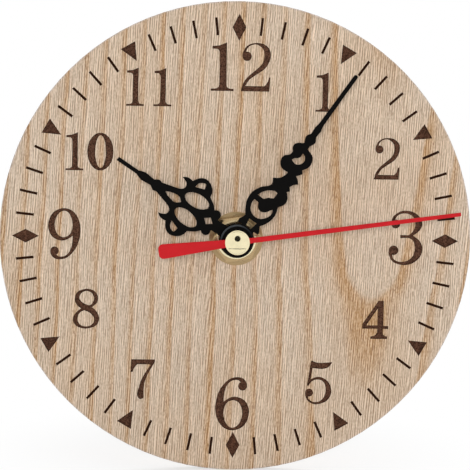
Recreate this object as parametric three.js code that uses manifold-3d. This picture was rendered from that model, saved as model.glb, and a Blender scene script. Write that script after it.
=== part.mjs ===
// Wooden wall clock: an engraved wooden disc on a battery quartz movement.
// Everything is drawn in plan, looking at the dial: X to the right, Y towards twelve o'clock and
// Z out of the wall towards the viewer, from the wall plane. The last group turns that plan upright,
// so that the dial faces -Y and twelve o'clock is +Z. Lengths are millimetres, angles degrees.

import * as THREE from 'three';
import { mergeVertices } from 'three/addons/utils/BufferGeometryUtils.js';
import Module from 'manifold-3d';

const wasm = await Module();
wasm.setup();

// Fits
const RUN_CLEARANCE = 0.25; // between a turning piece and its bearing
const PRESS_CLEARANCE = 0.05; // between pieces that are pushed together
const DROP_CLEARANCE = 0.2; // round a piece that drops into a recess
const LAYER_GAP = 0.4; // between wheels that turn one above another

// Dial board
const BOARD_DIAMETER = 120;
const BOARD_THICKNESS = 4.5;
const BOARD_EDGE_CHAMFER = 0.35;
const BOARD_SIDES = 96;
const ENGRAVE_DEPTH = 0.4;
const RIM_MARGIN = 3.9; // from the board's edge to the outer ends of the ticks
const TICK_LENGTH = 4.4;
const TICK_WIDTH = 0.55;
const DIAMOND_INSET = 6.55; // from the board's edge to a diamond's centre
const DIAMOND_LENGTH = 6.6;
const DIAMOND_WIDTH = 3.4;
const TRIANGLE_MARGIN = 4.05; // from the board's edge to a triangle's outer side
const TRIANGLE_LENGTH = 4.35;
const TRIANGLE_WIDTH = 4;

// Numerals: height, distance of the centre from the board's edge, how far it is turned past its hour,
// and the gap between two digits
const NUMERALS = [
  { hour: 12, digits: [1, 2], height: 12.1, inset: 16.5, lead: 0.7, gap: 1.95 },
  { hour: 1, digits: [1], height: 9.8, inset: 16.6, lead: 0.3, gap: 0 },
  { hour: 2, digits: [2], height: 10.5, inset: 16.6, lead: 1.3, gap: 0 },
  { hour: 3, digits: [3], height: 13.9, inset: 16.7, lead: -0.9, gap: 0 },
  { hour: 4, digits: [4], height: 9.8, inset: 18.5, lead: -0.4, gap: 0 },
  { hour: 5, digits: [5], height: 11.3, inset: 17.1, lead: -0.5, gap: 0 },
  { hour: 6, digits: [6], height: 13.8, inset: 17.3, lead: 0.4, gap: 0 },
  { hour: 7, digits: [7], height: 10.2, inset: 16.6, lead: 2.6, gap: 0 },
  { hour: 8, digits: [8], height: 10.2, inset: 17.8, lead: 4, gap: 0 },
  { hour: 9, digits: [9], height: 13, inset: 16.4, lead: 0.8, gap: 0 },
  { hour: 10, digits: [1, 0], height: 9.5, inset: 16.8, lead: 0, gap: 1.05 },
  { hour: 11, digits: [1, 1], height: 9.5, inset: 15.7, lead: -0.7, gap: 2.5 },
];

// Clamp stack in front of the movement
const GASKET_DIAMETER = 18;
const GASKET_THICKNESS = 1;
const BUSHING_RADIUS = 3.9;
const BUSHING_FLANGE_RADIUS = 6;
const BUSHING_FLANGE_THICKNESS = 1;
const BUSHING_PROUD = 0.9; // how far the bushing stands out of its nut
const WASHER_DIAMETER = 13.7;
const WASHER_THICKNESS = 0.5;
const NUT_ACROSS_FLATS = 11.1;
const NUT_THICKNESS = 2.2;
const NUT_CHAMFER_RADIUS = 4.95;
const NUT_CHAMFER_HEIGHT = 0.45;
const NUT_TURN = 9; // a flat faces this far left of twelve o'clock

// Hands, shown at about six minutes past ten
const HAND_THICKNESS = 0.5;
const HOUR_HAND_LIFT = 1.1; // above the bushing
const MINUTE_HAND_LIFT = 2; // above the hour hand
const SECOND_HAND_LIFT = 1.9; // above the minute hand
const TUBE_PROUD = 0.3; // how far each tube stands out of its hand
const HOUR_HAND_REACH = 36.3;
const MINUTE_HAND_REACH = 51.1;
const SECOND_HAND_REACH = 56.4;
const SECOND_HAND_TAIL = 19.8;
const HOUR_HUB_RADIUS = 4.4;
const MINUTE_HUB_RADIUS = 4.2;
const MINUTE_HUB_RISE = 0.35;
const SECOND_HUB_RADIUS = 2.4;
const HOUR_HAND_ANGLE = 303.9; // clockwise from twelve
const MINUTE_HAND_ANGLE = 35;
const SECOND_HAND_ANGLE = 82.1;
const BOSS_STEM_RADIUS = 1.4;
const BOSS_FLANGE_RADIUS = 2.9;
const BOSS_FLANGE_THICKNESS = 0.4;
const BOSS_PIPE_LENGTH = 0.6;
const CAP_RADIUS = 3.1;
const CAP_SIDE = 1.1;
const CAP_CROWN = 0.3;

// Concentric arbors
const SECONDS_ARBOR_RADIUS = 0.5;
const MINUTE_PIPE_WALL = 0.75;
const HOUR_TUBE_WALL = 0.7;
const ARBOR_RADIUS = 0.5;

// Movement case
const CASE_SIDE = 56;
const CASE_CORNER = 3;
const CASE_DEPTH = 16;
const CASE_WALL = 2;
const FRONT_WALL = 1.5;
const COVER_THICKNESS = 1.5;
const COVER_LEDGE = 1;
const PARTITION = 1.6; // wall between wheels and battery
const BOSS_RADIUS = 1.6;
const HOLE_FLOOR = 0.7; // plastic left under a blind pivot hole
const PIVOT_END_GAP = 0.3;

// Hanging loop on top of the case
const LOOP_WIDTH = 16;
const LOOP_TOP_WIDTH = 10;
const LOOP_HEIGHT = 10.6;
const LOOP_THICKNESS = 4;
const LOOP_ROOT = 1; // how far the loop is sunk into the case's wall
const NAIL_SLOT_BOTTOM = 2.2; // above the case
const NAIL_SLOT_HEIGHT = 6.2;
const NAIL_SLOT_BOTTOM_WIDTH = 6.6;
const NAIL_SLOT_TOP_WIDTH = 4.6;

// Battery and its contacts
const BATTERY_RADIUS = 7;
const BATTERY_LENGTH = 50.5;
const BATTERY_NUB_LENGTH = 1.2;
const BATTERY_NUB_RADIUS = 2.7;
const BATTERY_EDGE = 0.6;
const CONTACT_THICKNESS = 0.35;
const CONTACT_PLATE_WIDTH = 8;
const CONTACT_STRIP_WIDTH = 2.3;
const CRADLE_THICKNESS = 1.4;
const CRADLE_SPREAD = 14; // each cradle rib's distance from the middle
const THUMB_NOTCH_WIDTH = 16;
const THUMB_NOTCH_DEPTH = 7;

// Snap hooks of the cover
const HOOK_WIDTH = 5;
const HOOK_THICKNESS = 0.9;
const HOOK_LENGTH = 5;
const HOOK_BARB = 1;
const HOOK_BARB_HEIGHT = 1.4;
const HOOK_WALL_GAP = 0.3;
const HOOKS_ALONG_TOP = [-6, 8]; // left-right places of the two hooks at the top wall

// Gear train
const ADDENDUM = 0.75; // tooth height outside the pitch circle, in modules
const DEDENDUM = 1.05; // tooth depth inside it
const TOOTH_SHARE = 0.32; // tooth width at the pitch circle, as a share of the pitch
const TOOTH_TIP_SHARE = 0.12;
const ROOT_SPAN_LIMIT = 0.45; // widest half tooth at the root, as a share of the pitch
const TEETH = {
  rotorPinion: 6,
  intermediateWheel: 30,
  intermediatePinion: 8,
  secondsWheel: 48,
  secondsPinion: 6,
  thirdWheel: 45,
  thirdPinion: 6,
  centreWheel: 48,
  cannonPinion: 10,
  motionWheel: 30,
  motionPinion: 8,
  hourWheel: 32,
  settingGear: 16,
};
const ROTOR_MODULE = 0.4;
const SECONDS_MODULE = 0.4;
const THIRD_MODULE = 0.4267;
const MOTION_MODULE = 0.42;
const WHEEL_THICKNESS = 1;
const PINION_OVERLAP = 0.3; // how far a pinion stands past each face of its wheel
const THIRD_BEARING = 75; // direction from the centre, counter-clockwise from three o'clock
const INTERMEDIATE_BEARING = 165;
const ROTOR_BEARING = 115; // from the intermediate wheel
const MOTION_BEARING = -20;
const SETTING_BEARING = 20; // from the motion wheel

// Friction clutch on the minute pipe
const CLUTCH_SPRING_HEIGHT = 0.5;
const CLUTCH_SPRING_STOCK = 0.3;
const CLUTCH_SPRING_WIDTH = 1.1;
const CLUTCH_SPRING_WAVES = 3;
const PIPE_COLLAR_THICKNESS = 0.4;
const PIPE_COLLAR_WIDTH = 0.7;

// Stepping motor
const MAGNET_RADIUS = 3.2;
const MAGNET_LENGTH = 3.2;
const STATOR_THICKNESS = 1.2;
const STATOR_GAP = 0.5; // air gap round the magnet
const STATOR_RIM = 1.3;
const STATOR_ARM = 6;
const CORE_WIDTH = 3;
const CORE_THICKNESS = 1.2;
const COIL_X = -22.4;
const COIL_RADIUS = 2.8;
const COIL_BOTTOM = -3;
const COIL_TOP = 18.5;
const BOBBIN_FLANGE = 1;
const BOBBIN_WALL = 0.5;
const CORE_END_WIDTH = 3;
const MOTOR_POST_X = -16;
const MOTOR_POST_RADIUS = 1.4;
const MOTOR_PIN_RADIUS = 0.7;

// Circuit board
const PCB_LEFT = 11;
const PCB_BOTTOM = 7;
const PCB_TOP = 24.6;
const PCB_THICKNESS = 1;
const PCB_POSTS = [[14, 22], [20.5, 11]];
const CRYSTAL_RADIUS = 1;
const CRYSTAL_LENGTH = 6;
const CRYSTAL_PLACE = [17, 20.5];
const CHIP_RADIUS = 2.6;
const CHIP_HEIGHT = 1.1;
const CHIP_RIM = 0.3;
const CHIP_PLACE = [18, 15.5];
const NEGATIVE_STRIP_X = 22.6; // where the negative strip climbs to the circuit board

// Setting knob
const KNOB_RADIUS = 5.4;
const KNOB_RIDGE = 0.35;
const KNOB_RIDGES = 20;
const KNOB_THICKNESS = 2.2;
const KNOB_SINK = 0.5; // kept behind the wall plane
const KNOB_SHAFT_RADIUS = 1.2;
const WELL_CLEARANCE = 0.8;
const WELL_WALL = 1;

// Smoothness of curves
const SPAN_STEPS = 2; // straight steps between two points of a curve
const BEND_STEPS = 3;
const ARC_STEP = 24;
const OVAL_STEPS = 22;
const ROUND_SIDES = 32;
const FINE_SIDES = 12;
const COIL_SIDES = 16;
const WELD_TOLERANCE = 1e-4;

// Heights above the wall plane
const caseInnerFront = CASE_DEPTH - FRONT_WALL;
const boardBack = CASE_DEPTH + GASKET_THICKNESS;
const boardFace = boardBack + BOARD_THICKNESS;
const washerTop = boardFace + WASHER_THICKNESS;
const nutTop = washerTop + NUT_THICKNESS;
const bushingTop = nutTop + BUSHING_PROUD;
const hourHandBack = bushingTop + HOUR_HAND_LIFT;
const hourTubeTop = hourHandBack + HAND_THICKNESS + TUBE_PROUD;
const minuteHandBack = hourHandBack + HAND_THICKNESS + MINUTE_HAND_LIFT;
const minutePipeTop = minuteHandBack + HAND_THICKNESS + TUBE_PROUD;
const secondHandBack = minuteHandBack + HAND_THICKNESS + SECOND_HAND_LIFT;
const secondHandFront = secondHandBack + HAND_THICKNESS;
const flangeBack = caseInnerFront - BUSHING_FLANGE_THICKNESS;

// Radii of the concentric arbors, each clear of the one inside it
const minutePipeBore = SECONDS_ARBOR_RADIUS + RUN_CLEARANCE;
const minutePipeRadius = minutePipeBore + MINUTE_PIPE_WALL;
const hourTubeBore = minutePipeRadius + RUN_CLEARANCE;
const hourTubeRadius = hourTubeBore + HOUR_TUBE_WALL;
const bushingBore = hourTubeRadius + RUN_CLEARANCE;
const bushingRoom = BUSHING_RADIUS + DROP_CLEARANCE;

// Layers of the train, counted down from the bushing's flange towards the cover
const pinionReach = WHEEL_THICKNESS + 2 * PINION_OVERLAP;
const hourWheelTop = flangeBack - LAYER_GAP;
const hourWheelBack = hourWheelTop - WHEEL_THICKNESS;
const motionPinionTop = hourWheelTop + PINION_OVERLAP;
const motionWheelTop = hourWheelBack - PINION_OVERLAP - RUN_CLEARANCE;
const motionWheelBack = motionWheelTop - WHEEL_THICKNESS;
const cannonTop = hourWheelBack - RUN_CLEARANCE;
const cannonBack = motionWheelBack - PINION_OVERLAP;
const centreWheelTop = cannonBack - CLUTCH_SPRING_HEIGHT - 2 * PRESS_CLEARANCE;
const centreWheelBack = centreWheelTop - WHEEL_THICKNESS;
const pipeBack = centreWheelBack - PRESS_CLEARANCE - PIPE_COLLAR_THICKNESS;
const thirdPinionTop = centreWheelTop + PINION_OVERLAP;
const thirdPinionBack = centreWheelBack - PINION_OVERLAP;
const thirdWheelTop = pipeBack - LAYER_GAP;
const thirdWheelBack = thirdWheelTop - WHEEL_THICKNESS;
const secondsPinionTop = pipeBack - RUN_CLEARANCE;
const secondsPinionBack = thirdWheelBack - PINION_OVERLAP;
const secondsWheelTop = secondsPinionBack - LAYER_GAP;
const secondsWheelBack = secondsWheelTop - WHEEL_THICKNESS;
const intermediatePinionTop = secondsWheelTop + PINION_OVERLAP;
const intermediatePinionBack = secondsWheelBack - PINION_OVERLAP;
const intermediateWheelTop = intermediatePinionBack;
const intermediateWheelBack = intermediateWheelTop - WHEEL_THICKNESS;
const rotorPinionBack = intermediateWheelBack - PINION_OVERLAP;
const rotorPinionTop = rotorPinionBack + pinionReach;
const magnetBack = rotorPinionTop + LAYER_GAP;
const magnetTop = magnetBack + MAGNET_LENGTH;
const coreBack = secondsWheelBack;
const coreTop = coreBack + CORE_THICKNESS;
const statorTop = coreTop + STATOR_THICKNESS;
const pivotEnd = HOLE_FLOOR + PIVOT_END_GAP;
const pcbTop = motionWheelTop + PINION_OVERLAP;
const pcbBack = pcbTop - PCB_THICKNESS;

// Plan places of the case's rooms
const caseHalf = CASE_SIDE / 2;
const roomHalf = caseHalf - CASE_WALL;
const batteryTop = -roomHalf + 2 * (BATTERY_RADIUS + DROP_CLEARANCE);
const roomBottom = batteryTop + PARTITION;
const batteryY = -roomHalf + BATTERY_RADIUS + DROP_CLEARANCE;
const batteryZ = caseInnerFront - DROP_CLEARANCE - BATTERY_RADIUS;

// Plan places of the train's axes
const polar = (distance, bearing, from = [0, 0]) => [
  from[0] + distance * Math.cos(THREE.MathUtils.degToRad(bearing)),
  from[1] + distance * Math.sin(THREE.MathUtils.degToRad(bearing)),
];
const spacing = (module, a, b) => module * (TEETH[a] + TEETH[b]) / 2;
const centreAt = [0, 0];
const intermediateAt = polar(
  spacing(SECONDS_MODULE, 'intermediatePinion', 'secondsWheel'), INTERMEDIATE_BEARING);
const rotorAt = polar(
  spacing(ROTOR_MODULE, 'rotorPinion', 'intermediateWheel'), ROTOR_BEARING, intermediateAt);
const thirdDistance = spacing(THIRD_MODULE, 'secondsPinion', 'thirdWheel');
const thirdAt = polar(thirdDistance, THIRD_BEARING);
const centreModule = 2 * thirdDistance / (TEETH.thirdPinion + TEETH.centreWheel);
const motionDistance = spacing(MOTION_MODULE, 'cannonPinion', 'motionWheel');
const motionAt = polar(motionDistance, MOTION_BEARING);
const hourModule = 2 * motionDistance / (TEETH.motionPinion + TEETH.hourWheel);
const settingAt = polar(
  spacing(MOTION_MODULE, 'motionWheel', 'settingGear'), SETTING_BEARING, motionAt);

// Angle of a tooth of the second gear when it is in mesh with the first, in degrees
function meshed(firstPhase, firstTeeth, bearing, secondTeeth) {
  const offset = firstPhase - bearing;
  return bearing + 180 - offset * firstTeeth / secondTeeth + 180 / secondTeeth;
}

// Solid modelling helpers

function weld(geometry) {
  const bare = new THREE.BufferGeometry();
  bare.setAttribute('position', geometry.getAttribute('position'));
  bare.setIndex(geometry.getIndex());
  const merged = mergeVertices(bare, WELD_TOLERANCE);
  const corners = merged.getIndex().array;
  const kept = [];
  for (let i = 0; i < corners.length; i += 3) {
    const [a, b, c] = [corners[i], corners[i + 1], corners[i + 2]];
    if (a !== b && b !== c && c !== a) kept.push(a, b, c);
  }
  merged.setIndex(kept);
  return merged;
}

function signedVolume(geometry) {
  const position = geometry.getAttribute('position');
  const corners = geometry.getIndex().array;
  const [a, b, c] = [new THREE.Vector3(), new THREE.Vector3(), new THREE.Vector3()];
  let sum = 0;
  for (let i = 0; i < corners.length; i += 3) {
    a.fromBufferAttribute(position, corners[i]);
    b.fromBufferAttribute(position, corners[i + 1]);
    c.fromBufferAttribute(position, corners[i + 2]);
    sum += a.dot(b.cross(c)) / 6;
  }
  return sum;
}

// A closed three.js geometry as a solid that can be joined and cut
function solid(geometry) {
  const welded = weld(geometry);
  const corners = Uint32Array.from(welded.getIndex().array);
  if (signedVolume(welded) < 0) corners.reverse();
  const vertProperties = Float32Array.from(welded.getAttribute('position').array);
  return new wasm.Manifold(new wasm.Mesh({ numProp: 3, vertProperties, triVerts: corners }));
}

const joined = (first, ...others) => others.reduce((sum, other) => sum.add(other), first);
const cut = (first, ...others) => others.reduce((rest, other) => rest.subtract(other), first);

function geometryOf(piece) {
  const mesh = piece.getMesh();
  const geometry = new THREE.BufferGeometry();
  geometry.setAttribute('position', new THREE.BufferAttribute(mesh.vertProperties.slice(), 3));
  geometry.setIndex(Array.from(mesh.triVerts));
  geometry.computeVertexNormals();
  return geometry;
}

// Flat stock of the outline between two heights
function plate(shape, back, front) {
  const geometry = new THREE.ExtrudeGeometry(shape, { depth: front - back, bevelEnabled: false });
  geometry.translate(0, 0, back);
  return solid(geometry);
}

function block(left, right, bottom, top, back, front) {
  const geometry = new THREE.BoxGeometry(right - left, top - bottom, front - back);
  geometry.translate((left + right) / 2, (bottom + top) / 2, (back + front) / 2);
  return solid(geometry);
}

function rod([x, y], radius, back, front, sides = FINE_SIDES) {
  const geometry = new THREE.CylinderGeometry(radius, radius, front - back, sides);
  geometry.rotateX(Math.PI / 2);
  geometry.translate(x, y, (back + front) / 2);
  return solid(geometry);
}

// A turned piece about the plan's Z axis; the profile lists radius and height and closes on itself
function turned(profile, sides = ROUND_SIDES) {
  const points = [...profile, profile[0]].map(([radius, height]) => new THREE.Vector2(radius, height));
  const geometry = new THREE.LatheGeometry(points, sides);
  geometry.rotateX(Math.PI / 2);
  return solid(geometry);
}

const ring = (bore, radius, back, front, sides = ROUND_SIDES) => turned(
  [[bore, back], [radius, back], [radius, front], [bore, front]], sides);

// Outline helpers: each gives a run of points

const vector = ([x, y]) => new THREE.Vector2(x, y);
const corners = (...points) => points.map(vector);
const curve = (...points) => new THREE.SplineCurve(points.map(vector))
  .getPoints((points.length - 1) * SPAN_STEPS);
const bend = (from, control, to) => new THREE.QuadraticBezierCurve(
  vector(from), vector(control), vector(to)).getPoints(BEND_STEPS);

function arc(x, y, radius, from, to) {
  const steps = Math.ceil(Math.abs(to - from) / ARC_STEP);
  const points = [];
  for (let i = 0; i <= steps; i += 1) {
    points.push(vector(polar(radius, from + (to - from) * i / steps, [x, y])));
  }
  return points;
}

function oval(x, y, halfWidth, halfHeight, tilt = 0) {
  const path = new THREE.EllipseCurve(
    x, y, halfWidth, halfHeight, 0, 2 * Math.PI, false, THREE.MathUtils.degToRad(tilt));
  return path.getPoints(OVAL_STEPS).slice(0, -1);
}

// A shape from runs of points, leaving out points that fall on the one before, with its holes wound
// the other way round
function shapeOf(outer, holes = []) {
  const tidy = (runs, clockwise) => {
    const points = runs.flat();
    const apart = points.filter((point, i) => point.distanceTo(points.at(i - 1)) > 1e-3);
    return THREE.ShapeUtils.isClockWise(apart) === clockwise ? apart : apart.reverse();
  };
  const shape = new THREE.Shape(tidy(outer, false));
  shape.holes = holes.map((runs) => new THREE.Path(tidy(runs, true)));
  return shape;
}

function roundedRectangle(left, right, bottom, top, radius) {
  return shapeOf([
    arc(right - radius, bottom + radius, radius, -90, 0),
    arc(right - radius, top - radius, radius, 0, 90),
    arc(left + radius, top - radius, radius, 90, 180),
    arc(left + radius, bottom + radius, radius, 180, 270),
  ]);
}

// Numerals, each drawn on a grid of its own that is so many rows high, from its lower left corner

const SIX_ROWS = 53.4;
const SIX_WIDTH = 33.7;
const sixOuter = [
  curve([22, 53.4], [16, 52.4], [10.5, 48.6], [5, 41.6], [1.8, 33.6], [0.3, 24.6], [0.6, 17.6],
    [2.8, 10.1], [7, 4.1], [12, 1], [17.5, 0], [23, 1.2], [28.5, 4.6], [32.2, 10.6], [33.7, 18.6],
    [32.5, 24.6], [29.5, 29.6], [25, 32.4], [19.5, 33.7], [14, 32.4], [8.2, 28.4]),
  curve([8.2, 32.6], [9, 39.1], [11, 44.8], [14.5, 49.1], [19, 50.8], [23, 50.6], [25.1, 48.5]),
  arc(27, 44.6, 4.3, 115, 370),
  curve([30.9, 47.5], [28.8, 51], [25.6, 52.9], [22, 53.4]),
];
const sixHole = [
  curve([18, 30.6], [23, 28.6], [26.3, 23.1], [27.2, 16.6], [25.5, 9.1], [22, 4.3], [17.5, 2.3],
    [13, 4.1], [9.6, 9.6], [8.2, 17.1], [9.3, 24.1], [13, 29.1], [18, 30.6]),
];
const turnedOver = (runs) => runs.map((run) => run.map(
  ({ x, y }) => new THREE.Vector2(SIX_WIDTH - x, SIX_ROWS - y)));

const DIGITS = [
  {
    rows: 37.8, width: 26, outer: [oval(13, 18.9, 13, 18.9)], holes: [[oval(13.2, 18.9, 5.6, 16.8)]],
  },
  {
    rows: 47.9,
    width: 22.3,
    outer: [
      corners([0, 0], [22.3, 0], [22.3, 1.8]),
      bend([19, 1.9], [15.6, 2.2], [15, 6]),
      corners([15.2, 47.9], [8, 44.9], [1, 44.2], [1, 42]),
      bend([6, 41.8], [8.5, 41], [8.6, 36]),
      bend([8.3, 6], [8, 2.3], [4, 1.9]),
      corners([0, 1.8]),
    ],
    holes: [],
  },
  {
    rows: 48.1,
    width: 29.2,
    outer: [
      corners([0, 0], [28.3, 0], [28.6, 4], [29.2, 13.8]),
      bend([28.2, 13.8], [26.5, 6.5], [23, 4.9]),
      curve([4, 4.9], [8.5, 12], [18, 18.6], [24, 23.2], [28, 29.8], [29.2, 36.4], [27.5, 42.8],
        [22, 47], [15, 48.1], [8, 46.6], [3.5, 42.8], [1.1, 36.8]),
      arc(5.6, 34.8, 4.5, 180, 470),
      curve([4.8, 41.3], [7.5, 45], [12, 46.7], [16, 46.6], [21, 43.3], [23, 38.8], [23.2, 34.8],
        [22.2, 29.8], [19, 24.8], [8.5, 15.8], [4, 10.8], [1.5, 5.8], [0, 0]),
    ],
    holes: [],
  },
  {
    rows: 54.2,
    width: 34,
    outer: [
      corners([12, 27.1], [12, 29.9]),
      curve([19.5, 29.7], [22, 31], [25, 34.5], [26.6, 39], [26.5, 43.5], [24.6, 48], [21, 50.7],
        [16.5, 51.8], [12, 51.3], [8, 49], [6, 45.2]),
      arc(7, 41, 4.3, 100, -180),
      curve([3, 44], [4.6, 48.5], [11, 53.2], [16.5, 54.2], [23, 53.3], [29, 50], [32.5, 45],
        [33.2, 40], [31.5, 35.5], [28, 32.2], [24, 29.5]),
      curve([27, 27.7], [31, 24.3], [33.6, 19.5], [34, 15], [32.5, 9.5], [29, 5], [24, 1.7],
        [16, 0], [7, 2], [2.5, 6.2], [0.5, 12]),
      arc(5.5, 14.6, 4.6, 180, -110),
      curve([4.7, 6.7], [8, 3.9], [13, 2.9], [19, 3.9], [23.5, 7], [26, 11.5], [26.8, 16.5],
        [26.2, 21.5], [24.2, 25.2], [20.5, 27.2], [18, 27.4]),
    ],
    holes: [],
  },
  {
    rows: 38,
    width: 25.8,
    outer: [
      corners([0.2, 10.2], [0.2, 14.5], [15.9, 38], [20.8, 38], [20.8, 12.7], [25.8, 12.7],
        [25.8, 10], [20.4, 10.2]),
      bend([20.2, 6], [20.6, 2.6], [24.8, 2.1]),
      corners([24.8, 0], [8.5, 0]),
      bend([8.5, 2], [14.2, 2.4], [15, 6.5]),
      corners([15.2, 10.2]),
    ],
    holes: [[corners([15.4, 31], [15.2, 13.1], [3.6, 13.1])]],
  },
  {
    rows: 43.6,
    width: 25.9,
    outer: [
      corners([5.4, 43.1]),
      curve([6.5, 43.6], [10, 41.9], [16, 41.4], [25.8, 42.3]),
      curve([25.8, 41.6], [22.5, 37.4], [16, 35.7], [6.9, 36.6]),
      curve([4.8, 24.3], [7, 25.8], [11.5, 27.4], [15, 27.2], [20, 25], [24, 20.6], [25.9, 14.6],
        [25.5, 10.1], [23, 5.3], [19, 2.1], [11, 0], [5.5, 1.6], [2, 4.6], [0.4, 8.6]),
      arc(4, 11.7, 3.8, 190, -110),
      curve([3.4, 5.4], [6.5, 2.8], [11, 2], [15.5, 3.4], [19, 7.6], [20.6, 13.6], [19.8, 19.6],
        [17, 23.8], [13, 25], [9, 24.6], [5.5, 22.3], [3.4, 18.8]),
      corners([2, 18.8]),
    ],
    holes: [],
  },
  { rows: SIX_ROWS, width: SIX_WIDTH, outer: sixOuter, holes: [sixHole] },
  {
    rows: 39.6,
    width: 24,
    outer: [
      corners([0.8, 39.6], [24, 39.6]),
      curve([24, 37.6], [21.5, 33], [17, 25], [14, 17], [13, 9], [13.2, 2], [12, 0.5], [9.5, 0],
        [7.5, 2.5], [7, 5.5], [8.5, 11], [10.5, 18], [13.5, 24], [17.5, 30.5], [20.2, 34.2]),
      corners([19, 35]),
      bend([7, 35.1], [4.2, 34], [1.9, 27.2]),
      corners([0.3, 27.2]),
    ],
    holes: [],
  },
  {
    rows: 39.8,
    width: 25.9,
    outer: [
      curve([13, 39.8], [19.5, 38.5], [23.3, 35], [24.5, 30.5], [23.5, 26], [20.5, 23.2], [18, 21.4]),
      curve([18, 21.4], [22, 18.7], [25, 14], [25.9, 10], [24.5, 5.5], [21, 2.1], [12.5, 0],
        [5.5, 1.5], [1.5, 4.7], [0, 9], [1.3, 13.5], [4.8, 17.5], [8.3, 20]),
      curve([8.3, 20], [4.5, 23], [2.3, 26.5], [1.8, 30.5], [3.2, 35], [6.5, 38], [13, 39.8]),
    ],
    holes: [
      [curve([13.5, 38], [18, 36.5], [20.5, 32.5], [20.8, 29], [19, 25.2], [16.5, 23.2], [12, 24.4],
        [8, 27], [6, 30.5], [6.8, 34], [9.5, 36.8], [13.5, 38])],
      [curve([11, 18.4], [16, 16.5], [20, 12.5], [21.2, 8.5], [19.5, 4.5], [16, 2.4], [12, 1.9],
        [7.5, 3.2], [5, 6.5], [4.2, 10], [5.5, 14.5], [8, 17.2], [11, 18.4])],
    ],
  },
  { rows: SIX_ROWS, width: SIX_WIDTH, outer: turnedOver(sixOuter), holes: [turnedOver(sixHole)] },
];

// Cutters for the engraving, from just under the face outwards
const engraved = (shape) => plate(shape, boardFace - ENGRAVE_DEPTH, boardFace + ENGRAVE_DEPTH);

function numeralCutters({ hour, digits, height, inset, lead, gap }) {
  const widths = digits.map((digit) => DIGITS[digit].width * height / DIGITS[digit].rows);
  const total = widths.reduce((sum, width) => sum + width, 0) + gap * (digits.length - 1);
  const [x, y] = polar(BOARD_DIAMETER / 2 - inset, 90 - 30 * hour - lead);
  let left = x - total / 2;
  return digits.map((digit, i) => {
    const { rows, outer, holes } = DIGITS[digit];
    const place = (runs) => runs.map((run) => run.map((point) => new THREE.Vector2(
      left + point.x * height / rows, y - height / 2 + point.y * height / rows)));
    const shape = shapeOf(place(outer), holes.map(place));
    left += widths[i] + gap;
    return engraved(shape);
  });
}

// Marks drawn pointing at twelve o'clock, then turned to their minute
function minuteCutter(minute) {
  const radius = BOARD_DIAMETER / 2;
  const outerEnd = radius - RIM_MARGIN;
  let shape = shapeOf([corners(
    [-TICK_WIDTH / 2, outerEnd - TICK_LENGTH], [TICK_WIDTH / 2, outerEnd - TICK_LENGTH],
    [TICK_WIDTH / 2, outerEnd], [-TICK_WIDTH / 2, outerEnd])]);
  if (minute % 15 === 0) {
    const centre = radius - DIAMOND_INSET;
    shape = shapeOf([corners([0, centre - DIAMOND_LENGTH / 2], [DIAMOND_WIDTH / 2, centre],
      [0, centre + DIAMOND_LENGTH / 2], [-DIAMOND_WIDTH / 2, centre])]);
  } else if (minute % 5 === 0) {
    const base = radius - TRIANGLE_MARGIN;
    shape = shapeOf([corners([0, base - TRIANGLE_LENGTH], [TRIANGLE_WIDTH / 2, base],
      [-TRIANGLE_WIDTH / 2, base])]);
  }
  return engraved(shape).rotate([0, 0, -6 * minute]);
}

function dialBoard() {
  const radius = BOARD_DIAMETER / 2;
  const face = radius - BOARD_EDGE_CHAMFER;
  const disc = turned([
    [bushingRoom, boardBack], [face, boardBack], [radius, boardBack + BOARD_EDGE_CHAMFER],
    [radius, boardFace - BOARD_EDGE_CHAMFER], [face, boardFace], [bushingRoom, boardFace],
  ], BOARD_SIDES);
  const marks = Array.from({ length: 60 }, (_, minute) => minuteCutter(minute));
  return cut(disc, joined(...marks, ...NUMERALS.flatMap(numeralCutters)));
}

// Clamp stack

function hexNut() {
  const corner = NUT_ACROSS_FLATS / Math.sqrt(3);
  const outline = Array.from({ length: 6 }, (_, i) => vector(polar(corner, 120 + NUT_TURN + 60 * i)));
  const envelope = turned([
    [0, washerTop], [corner, washerTop], [corner, nutTop - NUT_CHAMFER_HEIGHT],
    [NUT_CHAMFER_RADIUS, nutTop], [0, nutTop],
  ]);
  const bore = rod(centreAt, BUSHING_RADIUS + PRESS_CLEARANCE, washerTop - 1, nutTop + 1, ROUND_SIDES);
  return cut(plate(shapeOf([outline]), washerTop, nutTop).intersect(envelope), bore);
}

function threadedBushing() {
  return turned([
    [bushingBore, flangeBack], [BUSHING_FLANGE_RADIUS, flangeBack], [BUSHING_FLANGE_RADIUS, caseInnerFront],
    [BUSHING_RADIUS, caseInnerFront], [BUSHING_RADIUS, bushingTop], [bushingBore, bushingTop],
  ]);
}

// Hands, drawn pointing at twelve o'clock

const handHole = (radius, back, front) => rod(
  centreAt, radius + PRESS_CLEARANCE, back - 1, front + 1, ROUND_SIDES);
const mirrored = (points) => points.map(({ x, y }) => new THREE.Vector2(-x, y)).reverse();

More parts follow.
